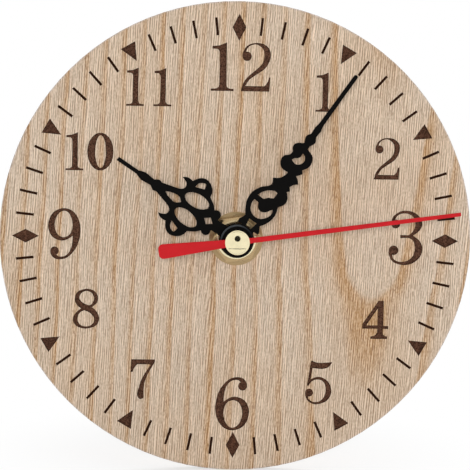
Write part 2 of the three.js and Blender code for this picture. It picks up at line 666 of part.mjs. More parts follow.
function hourHand() {
  const neck = 1.5;
  const bar = 0.5;
  const side = [
    corners([neck, Math.sqrt(HOUR_HUB_RADIUS ** 2 - neck ** 2)], [neck, 6.7]),
    arc(2.35, 7.9, 1.2, -120, 55),
    curve([3.15, 9], [4.1, 9.9], [4.85, 11.1], [5.2, 11.7]),
    curve([5.2, 11.7], [6.2, 11.85], [7.3, 12.55], [8.05, 13.65], [8.35, 14.9], [8, 16.05], [7.1, 17],
      [6.05, 17.6]),
    curve([6.05, 17.6], [6.15, 18.4], [6.05, 19.3], [5.4, 20.3]),
    curve([5.4, 20.3], [5.15, 19.4], [4.7, 18.6], [3.9, 18.25], [3.15, 18.5], [2.65, 19.1], [2.4, 19.8]),
    corners([1.3, 23.75]),
    curve([1.3, 23.75], [1.55, 24.55], [1.2, 25.25], [0.85, 25.75]),
    corners([1.1, 28.5], [0.72, 29.8], [bar, 30.2], [bar, HOUR_HAND_REACH]),
  ].flat();
  const hubStart = THREE.MathUtils.radToDeg(Math.acos(neck / HOUR_HUB_RADIUS));
  const hub = arc(0, 0, HOUR_HUB_RADIUS, 180 - hubStart, 360 + hubStart).slice(1, -1);
  const spade = [corners([0, 17]), curve([0.6, 17.7], [1, 18.6], [0.55, 20.8], [0, 21.8]),
    curve([-0.55, 20.8], [-1, 18.6], [-0.6, 17.7])];
  const scroll = curve([5.15, 16.3], [6.35, 16.05], [7.05, 15.25], [7.2, 14.3], [5.95, 14]);
  const window = corners([0, 7.4], [1.05, 8.7], [0, 9.95], [-1.05, 8.7]);
  const holes = [
    spade, [scroll], [mirrored(scroll)], [window],
    [oval(2.52, 13.9, 1.75, 3.35, 6)], [oval(-2.52, 13.9, 1.75, 3.35, -6)],
  ];
  const front = hourHandBack + HAND_THICKNESS;
  const blank = plate(shapeOf([hub, side, mirrored(side)], holes), hourHandBack, front);
  return cut(blank, handHole(hourTubeRadius, hourHandBack, front));
}

function minuteHand() {
  const rightSide = [
    corners([2, 4.35], [3.2, 4.4], [3.3, 4.8], [2.8, 5.7], [2.4, 6.4]),
    curve([2.4, 6.4], [3.2, 7.6], [3.8, 9.2], [3.92, 10.8], [3.5, 12.5], [3.3, 13]),
    curve([3.3, 13], [3.85, 13.7], [4.2, 14.45], [4.25, 15.25], [3.9, 16.2], [3.3, 16.95], [2.8, 17.3]),
    corners([3.4, 17.9], [2.65, 18.7], [3.1, 19.65], [4.05, 20.55], [3.2, 21.45], [2.4, 21.9],
      [3.4, 23.2], [2.75, 24]),
    curve([2.75, 24], [3.4, 24.9], [3.7, 25.85], [3.6, 26.85], [3.2, 27.8], [2.5, 28.5], [0.8, 29]),
    curve([0.75, 29.8], [1, 30.4], [1.4, 31.35], [1, 32.2], [0.7, 32.65]),
    corners([0.85, 34.6], [0.6, 35.5], [0.5, 36.4]),
  ].flat();
  const tipRadius = 0.52;
  const tip = arc(-0.12, MINUTE_HAND_REACH - tipRadius, tipRadius, 0, 180);
  const leftSide = [
    corners([-0.7, 36.4], [-0.75, 35.6], [-0.95, 34.6], [-0.82, 32.65]),
    curve([-0.82, 32.65], [-1.2, 32.2], [-1.5, 31.4], [-1.15, 30.5], [-0.85, 29.9]),
    curve([-1.2, 29.5], [-2.1, 29], [-2.7, 28.1], [-2.5, 27.1], [-1.95, 26.5]),
    curve([-1.95, 25.9], [-2.2, 25.2], [-2.95, 24.6], [-3.25, 23.6], [-2.9, 22.5], [-2.2, 21.7],
      [-1.3, 21.4], [0.2, 21.5]),
    curve([0.1, 20.85], [-0.2, 20], [-0.8, 19.1], [-2.1, 18.2]),
    curve([-2.1, 18.2], [-1.6, 17.4], [-1.42, 16.7], [-1.75, 15.95]),
    curve([-1.75, 15.95], [-2.75, 15.05], [-3.65, 13.8], [-4.2, 12.4], [-4.28, 11], [-3.95, 9.4],
      [-3.15, 7.9], [-2.25, 6.7]),
    corners([-2.5, 5.9], [-2.95, 5.1], [-2.85, 4.35], [-1.6, 4.35]),
  ].flat();
  const hub = arc(0, 0, MINUTE_HUB_RADIUS, 118, 420);
  const holes = [
    [corners([-0.5, 4.45], [0.95, 4.45], [1.35, 6.5], [-0.95, 6.5])],
    [curve([-2.75, 11.2], [-2.65, 9.65], [-1.75, 8.3], [0, 7.6], [1.6, 8.1], [2.75, 9.45], [3, 10.7],
      [2.55, 11.65]),
    curve([2.15, 11.1], [1.55, 10.15], [0.3, 9.5], [-0.8, 10.05], [-1.4, 11.1])],
    [curve([-0.8, 12.55], [0, 13.55], [1.1, 14.1], [1.1, 15.75]),
      curve([0.2, 15.8], [-1.2, 14.95], [-2.2, 13.75], [-2.7, 12.55])],
    [curve([0.4, 27.5], [1.2, 27.2], [1.8, 26.4], [1.8, 25.5], [1.25, 24.65], [0.3, 24.25], [-0.95, 24.65]),
      curve([-0.6, 25.35], [0.1, 25.85], [0.45, 26.45])],
  ];
  const shape = shapeOf([rightSide, tip, leftSide, hub], holes);
  const front = minuteHandBack + HAND_THICKNESS;
  const collar = turned([
    [0, minuteHandBack], [MINUTE_HUB_RADIUS, minuteHandBack], [MINUTE_HUB_RADIUS, front],
    [MINUTE_HUB_RADIUS - MINUTE_HUB_RISE, front + MINUTE_HUB_RISE], [0, front + MINUTE_HUB_RISE],
  ]);
  const blank = joined(plate(shape, minuteHandBack, front), collar);
  return cut(blank, handHole(minutePipeRadius, minuteHandBack, front + MINUTE_HUB_RISE));
}

function secondHand() {
  const tipHalf = 0.47;
  const rootHalf = 0.68;
  const tailRoot = 0.95;
  const tailHalf = 1.85;
  const tailCorner = 1.2;
  const side = [
    arc(tailHalf - tailCorner, -SECOND_HAND_TAIL + tailCorner, tailCorner, -90, 0),
    corners([tailRoot, -SECOND_HUB_RADIUS]),
    arc(0, 0, SECOND_HUB_RADIUS, -60, 65),
    corners([rootHalf, SECOND_HUB_RADIUS + 0.6], [tipHalf, SECOND_HAND_REACH]),
  ].flat();
  const blank = plate(shapeOf([side, mirrored(side)]), secondHandBack, secondHandFront);
  return cut(blank, handHole(BOSS_STEM_RADIUS, secondHandBack, secondHandFront));
}

// Brass cap in front of the second hand, with the pipe that grips the seconds arbor behind it
function secondHandBoss() {
  const bore = SECONDS_ARBOR_RADIUS + PRESS_CLEARANCE;
  const pipeRadius = BOSS_STEM_RADIUS;
  const flangeBackFace = secondHandBack - BOSS_FLANGE_THICKNESS;
  const capShoulder = secondHandFront + CAP_SIDE;
  const crown = [0.92, 0.75, 0.5, 0.25].map((share) => [
    CAP_RADIUS * share, capShoulder + CAP_CROWN * (1 - share * share)]);
  return turned([
    [bore, flangeBackFace - BOSS_PIPE_LENGTH], [pipeRadius, flangeBackFace - BOSS_PIPE_LENGTH],
    [pipeRadius, flangeBackFace], [BOSS_FLANGE_RADIUS, flangeBackFace],
    [BOSS_FLANGE_RADIUS, secondHandBack], [BOSS_STEM_RADIUS, secondHandBack],
    [BOSS_STEM_RADIUS, secondHandFront], [CAP_RADIUS, secondHandFront], [CAP_RADIUS, capShoulder],
    ...crown, [0, capShoulder + CAP_CROWN], [0, secondHandFront], [bore, secondHandFront],
  ]);
}

// Movement case

const blindHole = (at, radius, floor, mouth) => rod(at, radius, floor, mouth, FINE_SIDES);

function hangingLoop() {
  const root = caseHalf - LOOP_ROOT;
  const top = caseHalf + LOOP_HEIGHT;
  const slotBottom = caseHalf + NAIL_SLOT_BOTTOM;
  const slotTop = slotBottom + NAIL_SLOT_HEIGHT;
  const outer = corners([-LOOP_WIDTH / 2, root], [LOOP_WIDTH / 2, root], [LOOP_TOP_WIDTH / 2, top],
    [-LOOP_TOP_WIDTH / 2, top]);
  const slot = corners([-NAIL_SLOT_BOTTOM_WIDTH / 2, slotBottom], [NAIL_SLOT_BOTTOM_WIDTH / 2, slotBottom],
    [NAIL_SLOT_TOP_WIDTH / 2, slotTop], [-NAIL_SLOT_TOP_WIDTH / 2, slotTop]);
  return plate(shapeOf([outer], [[slot]]), 0, LOOP_THICKNESS);
}

// Ribs that cradle the battery on the bay's floor
function cradle(x) {
  const half = CRADLE_THICKNESS / 2;
  const rib = block(x - half, x + half, -roomHalf, batteryTop, batteryZ, caseInnerFront);
  const bed = new THREE.CylinderGeometry(
    BATTERY_RADIUS + PRESS_CLEARANCE, BATTERY_RADIUS + PRESS_CLEARANCE, 2 * CRADLE_THICKNESS, ROUND_SIDES);
  bed.rotateZ(Math.PI / 2);
  bed.translate(x, batteryY, batteryZ);
  return cut(rib, solid(bed));
}

// Where a hook of the cover catches in the top wall
const hookBarbFront = COVER_THICKNESS + HOOK_LENGTH;
const hookBarbBack = hookBarbFront - HOOK_BARB_HEIGHT;
const motorPosts = [[MOTOR_POST_X, COIL_BOTTOM - BOBBIN_FLANGE - CORE_END_WIDTH / 2 - DROP_CLEARANCE],
  [MOTOR_POST_X, COIL_TOP + BOBBIN_FLANGE + CORE_END_WIDTH / 2 + DROP_CLEARANCE]];

// Short hollow bosses on the front wall for the pivots of the train
const frontBosses = [
  { at: thirdAt, mouth: thirdPinionTop + LAYER_GAP, bore: ARBOR_RADIUS + RUN_CLEARANCE },
  { at: intermediateAt, mouth: centreWheelTop + LAYER_GAP, bore: ARBOR_RADIUS + RUN_CLEARANCE },
  { at: rotorAt, mouth: magnetTop + LAYER_GAP, bore: ARBOR_RADIUS + RUN_CLEARANCE },
  { at: settingAt, mouth: motionWheelTop + PINION_OVERLAP + LAYER_GAP,
    bore: ARBOR_RADIUS + RUN_CLEARANCE },
];
const frontPivotEnd = caseInnerFront - PIVOT_END_GAP;

function movementCase() {
  const outline = roundedRectangle(-caseHalf, caseHalf, -caseHalf, caseHalf, CASE_CORNER);
  const body = plate(outline, 0, CASE_DEPTH);
  const wheelRoom = block(-roomHalf, roomHalf, roomBottom, roomHalf, -1, caseInnerFront);
  const batteryBay = block(-roomHalf, roomHalf, -roomHalf, batteryTop, -1, caseInnerFront);
  const coverSeat = block(-roomHalf - COVER_LEDGE, roomHalf + COVER_LEDGE, roomBottom - PARTITION / 2,
    roomHalf + COVER_LEDGE, -1, COVER_THICKNESS);
  const thumbNotch = block(-THUMB_NOTCH_WIDTH / 2, THUMB_NOTCH_WIDTH / 2, -caseHalf - 1, -roomHalf + 0.1,
    -1, THUMB_NOTCH_DEPTH);
  const windows = HOOKS_ALONG_TOP.map((x) => block(
    x - HOOK_WIDTH / 2 - DROP_CLEARANCE, x + HOOK_WIDTH / 2 + DROP_CLEARANCE, roomHalf - 1, caseHalf + 1,
    hookBarbBack - DROP_CLEARANCE, hookBarbFront + DROP_CLEARANCE));
  const stripRoom = CONTACT_THICKNESS + 2 * DROP_CLEARANCE;
  const stripNotches = [[-roomHalf, stripRoom - roomHalf], [roomHalf - stripRoom, roomHalf]].map(
    ([left, right]) => block(
      left, right, batteryTop - 1, roomBottom + 1, pcbTop - DROP_CLEARANCE, caseInnerFront));
  const shell = cut(body, wheelRoom, batteryBay, coverSeat, thumbNotch, ...stripNotches);
  const rootInWall = CASE_DEPTH - FRONT_WALL / 2;
  const bosses = frontBosses.map(({ at, mouth }) => rod(at, BOSS_RADIUS, mouth, rootInWall));
  const posts = motorPosts.map((at) => joined(
    rod(at, MOTOR_POST_RADIUS, statorTop, rootInWall),
    rod(at, MOTOR_PIN_RADIUS, coreBack, statorTop + 1)));
  const boardPosts = PCB_POSTS.map((at) => joined(
    rod(at, MOTOR_POST_RADIUS, pcbTop, rootInWall),
    rod(at, MOTOR_PIN_RADIUS, pcbBack, pcbTop + 1)));
  const motionStud = rod(motionAt, ARBOR_RADIUS, motionWheelBack, rootInWall);
  const ribs = [-CRADLE_SPREAD, CRADLE_SPREAD].map(cradle);
  const whole = joined(shell, ...bosses, ...posts, ...boardPosts, motionStud, ...ribs, hangingLoop());
  const bores = frontBosses.map(({ at, mouth, bore }) => blindHole(at, bore, mouth - 1, caseInnerFront));
  const bushingHole = rod(
    centreAt, BUSHING_RADIUS + PRESS_CLEARANCE, flangeBack, CASE_DEPTH + 1, ROUND_SIDES);
  return cut(whole, bushingHole, ...bores, ...windows);
}

// Back cover with the pivots' blind holes, the knob's well and the snap hooks
const wellRadius = KNOB_RADIUS + KNOB_RIDGE + WELL_CLEARANCE;
const wellFloor = KNOB_SINK + KNOB_THICKNESS + RUN_CLEARANCE;
const coverBosses = [
  { at: centreAt, mouth: secondsWheelBack - LAYER_GAP },
  { at: thirdAt, mouth: secondsWheelBack - LAYER_GAP },
  { at: intermediateAt, mouth: intermediateWheelBack - RUN_CLEARANCE },
  { at: rotorAt, mouth: rotorPinionBack - RUN_CLEARANCE },
];

function snapHook(x) {
  const outer = roomHalf - HOOK_WALL_GAP;
  const tongue = block(x - HOOK_WIDTH / 2, x + HOOK_WIDTH / 2, outer - HOOK_THICKNESS, outer,
    COVER_THICKNESS / 2, hookBarbFront);
  const barb = block(x - HOOK_WIDTH / 2, x + HOOK_WIDTH / 2, outer - HOOK_THICKNESS, outer + HOOK_BARB,
    hookBarbBack, hookBarbFront);
  return joined(tongue, barb);
}

function backCover() {
  const edge = roomHalf + COVER_LEDGE - DROP_CLEARANCE;
  const bottom = roomBottom - PARTITION / 2 + DROP_CLEARANCE;
  const sheet = block(-edge, edge, bottom, edge, 0, COVER_THICKNESS);
  const bosses = coverBosses.map(({ at, mouth }) => rod(at, BOSS_RADIUS, COVER_THICKNESS / 2, mouth));
  const wellTop = wellFloor + WELL_WALL;
  const well = rod(settingAt, wellRadius + WELL_WALL, COVER_THICKNESS / 2, wellTop, ROUND_SIDES);
  const hooks = HOOKS_ALONG_TOP.map(snapHook);
  const whole = joined(sheet, ...bosses, well, ...hooks);
  const recess = rod(settingAt, wellRadius, -1, wellFloor, ROUND_SIDES);
  const shaftHole = rod(settingAt, KNOB_SHAFT_RADIUS + RUN_CLEARANCE, wellFloor - 1, wellTop + 1);
  const bores = coverBosses.map(({ at, mouth }) => blindHole(
    at, ARBOR_RADIUS + RUN_CLEARANCE, HOLE_FLOOR, mouth + 1));
  return cut(whole, recess, shaftHole, ...bores);
}

// Battery, lying along X with its nub to the right
const springBulge = 2 * (roomHalf - CONTACT_THICKNESS - 2 * PRESS_CLEARANCE) - BATTERY_LENGTH;
const batteryLeft = -roomHalf + CONTACT_THICKNESS + springBulge + 2 * PRESS_CLEARANCE;

function battery() {
  const end = batteryLeft + BATTERY_LENGTH;
  const shoulder = end - BATTERY_NUB_LENGTH;
  const profile = [
    [0, batteryLeft], [BATTERY_RADIUS - BATTERY_EDGE, batteryLeft],
    [BATTERY_RADIUS, batteryLeft + BATTERY_EDGE], [BATTERY_RADIUS, shoulder - BATTERY_EDGE],
    [BATTERY_RADIUS - BATTERY_EDGE, shoulder], [BATTERY_NUB_RADIUS, shoulder],
    [BATTERY_NUB_RADIUS, end], [0, end],
  ];
  const points = [...profile, profile[0]].map(([radius, along]) => new THREE.Vector2(radius, along));
  const geometry = new THREE.LatheGeometry(points, ROUND_SIDES);
  geometry.rotateZ(-Math.PI / 2);
  geometry.translate(0, batteryY, batteryZ);
  return solid(geometry);
}

// Contact plates at the battery's ends, with strips that run to the circuit board
const stripFront = pcbTop + CONTACT_STRIP_WIDTH;
const plateBottom = batteryY - CONTACT_PLATE_WIDTH / 2;
const plateTop = batteryTop - DROP_CLEARANCE;

function negativeContact() {
  const left = -roomHalf + PRESS_CLEARANCE;
  const right = left + CONTACT_THICKNESS;
  const bulge = plate(shapeOf([
    corners([left, plateBottom], [right, plateBottom]),
    curve([right, batteryY - CONTACT_PLATE_WIDTH / 4], [right + springBulge, batteryY],
      [right, batteryY + CONTACT_PLATE_WIDTH / 4]),
    corners([right, plateTop], [left, plateTop]),
  ]), batteryZ - CONTACT_PLATE_WIDTH / 2, stripFront);
  const wall = roomBottom + PRESS_CLEARANCE;
  const strip = shapeOf([corners(
    [left, plateTop - 1], [right, plateTop - 1], [right, wall],
    [NEGATIVE_STRIP_X + CONTACT_THICKNESS, wall], [NEGATIVE_STRIP_X + CONTACT_THICKNESS, PCB_BOTTOM + 2],
    [NEGATIVE_STRIP_X, PCB_BOTTOM + 2], [NEGATIVE_STRIP_X, wall + CONTACT_THICKNESS],
    [left, wall + CONTACT_THICKNESS])]);
  return joined(bulge, plate(strip, pcbTop, stripFront));
}

function positiveContact() {
  const right = roomHalf - PRESS_CLEARANCE;
  const left = right - CONTACT_THICKNESS;
  const end = block(left, right, plateBottom, plateTop, batteryZ - CONTACT_PLATE_WIDTH / 2, stripFront);
  const strip = block(left, right, plateTop - 1, PCB_BOTTOM + 3, pcbTop, stripFront);
  return joined(end, strip);
}

function circuitBoard() {
  const right = roomHalf - PRESS_CLEARANCE;
  const sheet = block(PCB_LEFT, right, PCB_BOTTOM, PCB_TOP, pcbBack, pcbTop);
  const holes = PCB_POSTS.map((at) => rod(at, MOTOR_PIN_RADIUS + PRESS_CLEARANCE, pcbBack - 1, pcbTop + 1));
  return cut(sheet, ...holes);
}

function quartzCrystal() {
  const geometry = new THREE.CylinderGeometry(CRYSTAL_RADIUS, CRYSTAL_RADIUS, CRYSTAL_LENGTH, FINE_SIDES);
  geometry.rotateZ(Math.PI / 2);
  geometry.translate(CRYSTAL_PLACE[0], CRYSTAL_PLACE[1], pcbBack - CRYSTAL_RADIUS - PRESS_CLEARANCE);
  return solid(geometry);
}

function driverChip() {
  const steps = [1, 0.85, 0.6, 0.3];
  const dome = steps.map((share) => [
    CHIP_RADIUS * share, pcbBack - CHIP_RIM - (CHIP_HEIGHT - CHIP_RIM) * (1 - share * share)]);
  return turned([[0, pcbBack], [CHIP_RADIUS, pcbBack], ...dome, [0, pcbBack - CHIP_HEIGHT]], FINE_SIDES)
    .translate([CHIP_PLACE[0], CHIP_PLACE[1], 0]);
}

// Stepping motor

const coreLeft = COIL_X - CORE_WIDTH / 2;
const coreRight = COIL_X + CORE_WIDTH / 2;
const coreEnds = motorPosts.map(([, y]) => y);
const coreMiddle = (coreBack + coreTop) / 2;
const armRight = MOTOR_POST_X + STATOR_ARM / 2;

function motorHoles(back, front) {
  return motorPosts.map((at) => rod(at, MOTOR_PIN_RADIUS + PRESS_CLEARANCE, back - 1, front + 1));
}

function coilCore() {
  const half = CORE_END_WIDTH / 2;
  const bar = block(coreLeft, coreRight, coreEnds[0] - half, coreEnds[1] + half, coreBack, coreTop);
  const arms = coreEnds.map((y) => block(coreLeft, armRight, y - half, y + half, coreBack, coreTop));
  return cut(joined(bar, ...arms), ...motorHoles(coreBack, coreTop));
}

function stator() {
  const half = CORE_END_WIDTH / 2;
  const [x, y] = rotorAt;
  const hole = MAGNET_RADIUS + STATOR_GAP;
  const eye = rod(rotorAt, hole + STATOR_RIM, coreTop, statorTop, ROUND_SIDES);
  const left = MOTOR_POST_X - STATOR_ARM / 2;
  const arms = block(left, armRight, coreEnds[0] - half, coreEnds[1] + half, coreTop, statorTop);
  const bore = rod([x, y], hole, coreTop - 1, statorTop + 1, ROUND_SIDES);
  return cut(joined(eye, arms), bore, ...motorHoles(coreTop, statorTop));
}

// Coil pieces are turned about the core's long axis
function alongCore(profile) {
  return turned(profile, COIL_SIDES).rotate([-90, 0, 0]).translate([COIL_X, 0, coreMiddle]);
}

function coilBobbin() {
  const tube = Math.hypot(CORE_WIDTH / 2, CORE_THICKNESS / 2) + BOBBIN_WALL;
  const flanges = alongCore([
    [0, COIL_BOTTOM - BOBBIN_FLANGE], [COIL_RADIUS, COIL_BOTTOM - BOBBIN_FLANGE],
    [COIL_RADIUS, COIL_BOTTOM], [tube, COIL_BOTTOM], [tube, COIL_TOP], [COIL_RADIUS, COIL_TOP],
    [COIL_RADIUS, COIL_TOP + BOBBIN_FLANGE], [0, COIL_TOP + BOBBIN_FLANGE],
  ]);
  const bore = block(coreLeft - PRESS_CLEARANCE, coreRight + PRESS_CLEARANCE, COIL_BOTTOM - 3, COIL_TOP + 3,
    coreBack - PRESS_CLEARANCE, coreTop + PRESS_CLEARANCE);
  return cut(flanges, bore);
}

function coilWinding() {
  const inner = Math.hypot(CORE_WIDTH / 2, CORE_THICKNESS / 2) + BOBBIN_WALL + PRESS_CLEARANCE;
  const outer = COIL_RADIUS - BOBBIN_WALL / 2;
  const bottom = COIL_BOTTOM + PRESS_CLEARANCE;
  const top = COIL_TOP - PRESS_CLEARANCE;
  return alongCore([[inner, bottom], [outer, bottom], [outer, top], [inner, top]]);
}

// Gears

function gearShape(teeth, module, phase) {
  const pitch = teeth * module / 2;
  const tip = pitch + ADDENDUM * module;
  const root = pitch - DEDENDUM * module;
  const pitchArc = Math.PI * module;
  const rootShare = TOOTH_SHARE + (TOOTH_SHARE - TOOTH_TIP_SHARE) * DEDENDUM / ADDENDUM;
  const step = 360 / teeth;
  const halfTip = THREE.MathUtils.radToDeg(TOOTH_TIP_SHARE * pitchArc / 2 / tip);
  const halfRoot = Math.min(
    THREE.MathUtils.radToDeg(rootShare * pitchArc / 2 / root), step * ROOT_SPAN_LIMIT);
  const points = [];
  for (let i = 0; i < teeth; i += 1) {
    const middle = phase + i * step;
    points.push(polar(root, middle - halfRoot), polar(tip, middle - halfTip));
    points.push(polar(tip, middle + halfTip), polar(root, middle + halfRoot));
  }
  return shapeOf([corners(...points)]);
}

const gear = (at, teeth, module, phase, back, front) => plate(gearShape(teeth, module, phase), back, front)
  .translate([at[0], at[1], 0]);

// Tooth angles that put the whole train in mesh
const phases = {};
phases.secondsWheel = 0;
phases.intermediatePinion = meshed(
  phases.secondsWheel, TEETH.secondsWheel, INTERMEDIATE_BEARING, TEETH.intermediatePinion);
phases.intermediateWheel = 0;
phases.rotorPinion = meshed(
  phases.intermediateWheel, TEETH.intermediateWheel, ROTOR_BEARING, TEETH.rotorPinion);
phases.secondsPinion = 0;
phases.thirdWheel = meshed(phases.secondsPinion, TEETH.secondsPinion, THIRD_BEARING, TEETH.thirdWheel);
phases.centreWheel = 0;
phases.thirdPinion = meshed(phases.centreWheel, TEETH.centreWheel, THIRD_BEARING, TEETH.thirdPinion);
phases.cannonPinion = 0;
phases.motionWheel = meshed(phases.cannonPinion, TEETH.cannonPinion, MOTION_BEARING, TEETH.motionWheel);
phases.hourWheel = 0;
phases.motionPinion = meshed(phases.hourWheel, TEETH.hourWheel, MOTION_BEARING, TEETH.motionPinion);
phases.settingGear = meshed(phases.motionWheel, TEETH.motionWheel, SETTING_BEARING, TEETH.settingGear);

const toothed = (name, at, module, back, front) => gear(at, TEETH[name], module, phases[name], back, front);

function rotorPinion() {
  const arbor = rod(rotorAt, ARBOR_RADIUS, pivotEnd, frontPivotEnd);
  return joined(toothed('rotorPinion', rotorAt, ROTOR_MODULE, rotorPinionBack, rotorPinionTop), arbor);
}

function rotorMagnet() {
  return ring(ARBOR_RADIUS + PRESS_CLEARANCE, MAGNET_RADIUS, magnetBack, magnetTop, FINE_SIDES)
    .translate([rotorAt[0], rotorAt[1], 0]);
}

function intermediateWheel() {
  const at = intermediateAt;
  return joined(
    toothed('intermediateWheel', at, ROTOR_MODULE, intermediateWheelBack, intermediateWheelTop),
    toothed('intermediatePinion', at, SECONDS_MODULE, intermediatePinionBack, intermediatePinionTop),
    rod(at, ARBOR_RADIUS, pivotEnd, frontPivotEnd));
}

function secondsArbor() {
  return rod(centreAt, SECONDS_ARBOR_RADIUS, pivotEnd, secondHandFront - PRESS_CLEARANCE);
}

function secondsWheel() {
  const hub = joined(
    toothed('secondsWheel', centreAt, SECONDS_MODULE, secondsWheelBack, secondsWheelTop),
    toothed('secondsPinion', centreAt, THIRD_MODULE, secondsWheelTop, secondsPinionTop));
  return cut(hub, rod(centreAt, SECONDS_ARBOR_RADIUS + PRESS_CLEARANCE, pivotEnd, secondHandFront));
}

function thirdWheel() {
  return joined(
    toothed('thirdWheel', thirdAt, THIRD_MODULE, thirdWheelBack, thirdWheelTop),
    toothed('thirdPinion', thirdAt, centreModule, thirdWheelTop, thirdPinionTop),
    rod(thirdAt, ARBOR_RADIUS, pivotEnd, frontPivotEnd));
}

function centreWheel() {
  const wheel = toothed('centreWheel', centreAt, centreModule, centreWheelBack, centreWheelTop);
  const bore = rod(centreAt, minutePipeRadius + RUN_CLEARANCE, centreWheelBack - 1, centreWheelTop + 1);
  return cut(wheel, bore);
}

// Waved spring washer that presses the centre wheel on the pipe's collar
function clutchSpring() {
  const stock = CLUTCH_SPRING_STOCK;
  const inner = minutePipeRadius + PRESS_CLEARANCE;
  const outer = inner + CLUTCH_SPRING_WIDTH;
  const back = centreWheelTop + PRESS_CLEARANCE;
  const geometry = new THREE.LatheGeometry([
    [inner, back], [outer, back], [outer, back + stock], [inner, back + stock], [inner, back],
  ].map(vector), ROUND_SIDES);
  geometry.rotateX(Math.PI / 2);
  const position = geometry.getAttribute('position');
  for (let i = 0; i < position.count; i += 1) {
    const around = Math.atan2(position.getY(i), position.getX(i));
    const lift = (CLUTCH_SPRING_HEIGHT - stock) * (1 + Math.cos(CLUTCH_SPRING_WAVES * around)) / 2;
    position.setZ(i, position.getZ(i) + lift);
  }
  return solid(geometry);
}

function minutePipe() {
  const collar = minutePipeRadius + PIPE_COLLAR_WIDTH;
  const pipe = turned([
    [minutePipeBore, pipeBack], [collar, pipeBack], [collar, pipeBack + PIPE_COLLAR_THICKNESS],
    [minutePipeRadius, pipeBack + PIPE_COLLAR_THICKNESS], [minutePipeRadius, minutePipeTop],
    [minutePipeBore, minutePipeTop],
  ], FINE_SIDES);
  const leaves = toothed('cannonPinion', centreAt, MOTION_MODULE, cannonBack, cannonTop);
  const bore = rod(centreAt, minutePipeBore, cannonBack - 1, cannonTop + 1);
  return joined(pipe, cut(leaves, bore));
}

function motionWheel() {
  const body = joined(
    toothed('motionWheel', motionAt, MOTION_MODULE, motionWheelBack, motionWheelTop),
    toothed('motionPinion', motionAt, hourModule, motionWheelTop, motionPinionTop));
  return cut(body, rod(motionAt, ARBOR_RADIUS + RUN_CLEARANCE, motionWheelBack - 1, motionPinionTop + 1));
}

function hourWheel() {
  const wheel = toothed('hourWheel', centreAt, hourModule, hourWheelBack, hourWheelTop);
  const tube = rod(centreAt, hourTubeRadius, hourWheelBack, hourTubeTop, ROUND_SIDES);
  const bore = rod(centreAt, hourTubeBore, hourWheelBack - 1, hourTubeTop + 1, ROUND_SIDES);
  return cut(joined(wheel, tube), bore);
}

function settingKnob() {
  const rim = Array.from({ length: 2 * KNOB_RIDGES }, (_, i) => vector(
    polar(KNOB_RADIUS + (i % 2) * KNOB_RIDGE, 180 * i / KNOB_RIDGES)));
  const grip = plate(shapeOf([rim]), KNOB_SINK, KNOB_SINK + KNOB_THICKNESS).translate([...settingAt, 0]);
  const shaft = rod(settingAt, KNOB_SHAFT_RADIUS, KNOB_SINK + KNOB_THICKNESS / 2, motionWheelTop);
  const pivot = rod(settingAt, ARBOR_RADIUS, motionWheelTop - 1, frontPivotEnd);
  const pinion = toothed('settingGear', settingAt, MOTION_MODULE, motionWheelBack, motionWheelTop);
  return joined(grip, shaft, pivot, pinion);
}

// Finishes
const finish = (color, roughness, metalness) => new THREE.MeshStandardMaterial(
  { color, roughness, metalness });
const oak = () => finish('#cfb595', 0.7, 0);
const brass = () => finish('#c9a95a', 0.28, 1);
const blackPaint = () => finish('#121214', 0.42, 0.2);
const redPaint = () => finish('#c8242c', 0.4, 0.1);
const rubber = () => finish('#1b1b1b', 0.9, 0);
const blackPlastic = () => finish('#17181a', 0.55, 0);
const palePlastic = () => finish('#e6e2d6', 0.5, 0);
const steel = () => finish('#b5b8bb', 0.3, 1);
const copper = () => finish('#b8672f', 0.35, 1);
const magnetGrey = () => finish('#4a4b4e', 0.6, 0.4);
const boardGreen = () => finish('#2f6b45', 0.55, 0);
const chipResin = () => finish('#101010', 0.35, 0);
const batterySleeve = () => finish('#8f949a', 0.35, 0.6);

// Assembly in the plan frame; each hand and its angle, clockwise from twelve
const clock = new THREE.Group();

function place(name, piece, material, clockwise = 0) {
  const mesh = new THREE.Mesh(geometryOf(piece), material);
  mesh.name = name;
  mesh.rotation.z = -THREE.MathUtils.degToRad(clockwise);
  clock.add(mesh);
}

place('dial_board', dialBoard(), oak());
place('rubber_gasket', ring(bushingRoom, GASKET_DIAMETER / 2, CASE_DEPTH, boardBack), rubber());
place('brass_washer', ring(bushingRoom, WASHER_DIAMETER / 2, boardFace, washerTop), brass());
place('hex_nut', hexNut(), brass());
place('threaded_bushing', threadedBushing(), brass());
place('hour_hand', hourHand(), blackPaint(), HOUR_HAND_ANGLE);
place('minute_hand', minuteHand(), blackPaint(), MINUTE_HAND_ANGLE);
place('second_hand', secondHand(), redPaint(), SECOND_HAND_ANGLE);
place('second_hand_boss', secondHandBoss(), brass());
place('movement_case', movementCase(), blackPlastic());
place('back_cover', backCover(), blackPlastic());
place('battery', battery(), batterySleeve());
place('positive_contact', positiveContact(), brass());
place('negative_contact', negativeContact(), brass());
place('circuit_board', circuitBoard(), boardGreen());
place('quartz_crystal', quartzCrystal(), steel());
place('driver_chip', driverChip(), chipResin());
place('coil_core', coilCore(), steel());
place('coil_bobbin', coilBobbin(), palePlastic());
place('coil_winding', coilWinding(), copper());
place('stator', stator(), steel());
place('rotor_pinion', rotorPinion(), palePlastic());
place('rotor_magnet', rotorMagnet(), magnetGrey());
place('intermediate_wheel', intermediateWheel(), palePlastic());
place('seconds_arbor', secondsArbor(), steel());
place('seconds_wheel', secondsWheel(), palePlastic());
place('third_wheel', thirdWheel(), palePlastic());
place('centre_wheel', centreWheel(), palePlastic());
place('clutch_spring', clutchSpring(), steel());
place('minute_pipe', minutePipe(), brass());
place('motion_wheel', motionWheel(), palePlastic());
place('hour_wheel', hourWheel(), palePlastic());
place('setting_knob', settingKnob(), blackPlastic());

const wallClock = new THREE.Group();
clock.rotation.x = Math.PI / 2;
wallClock.add(clock);

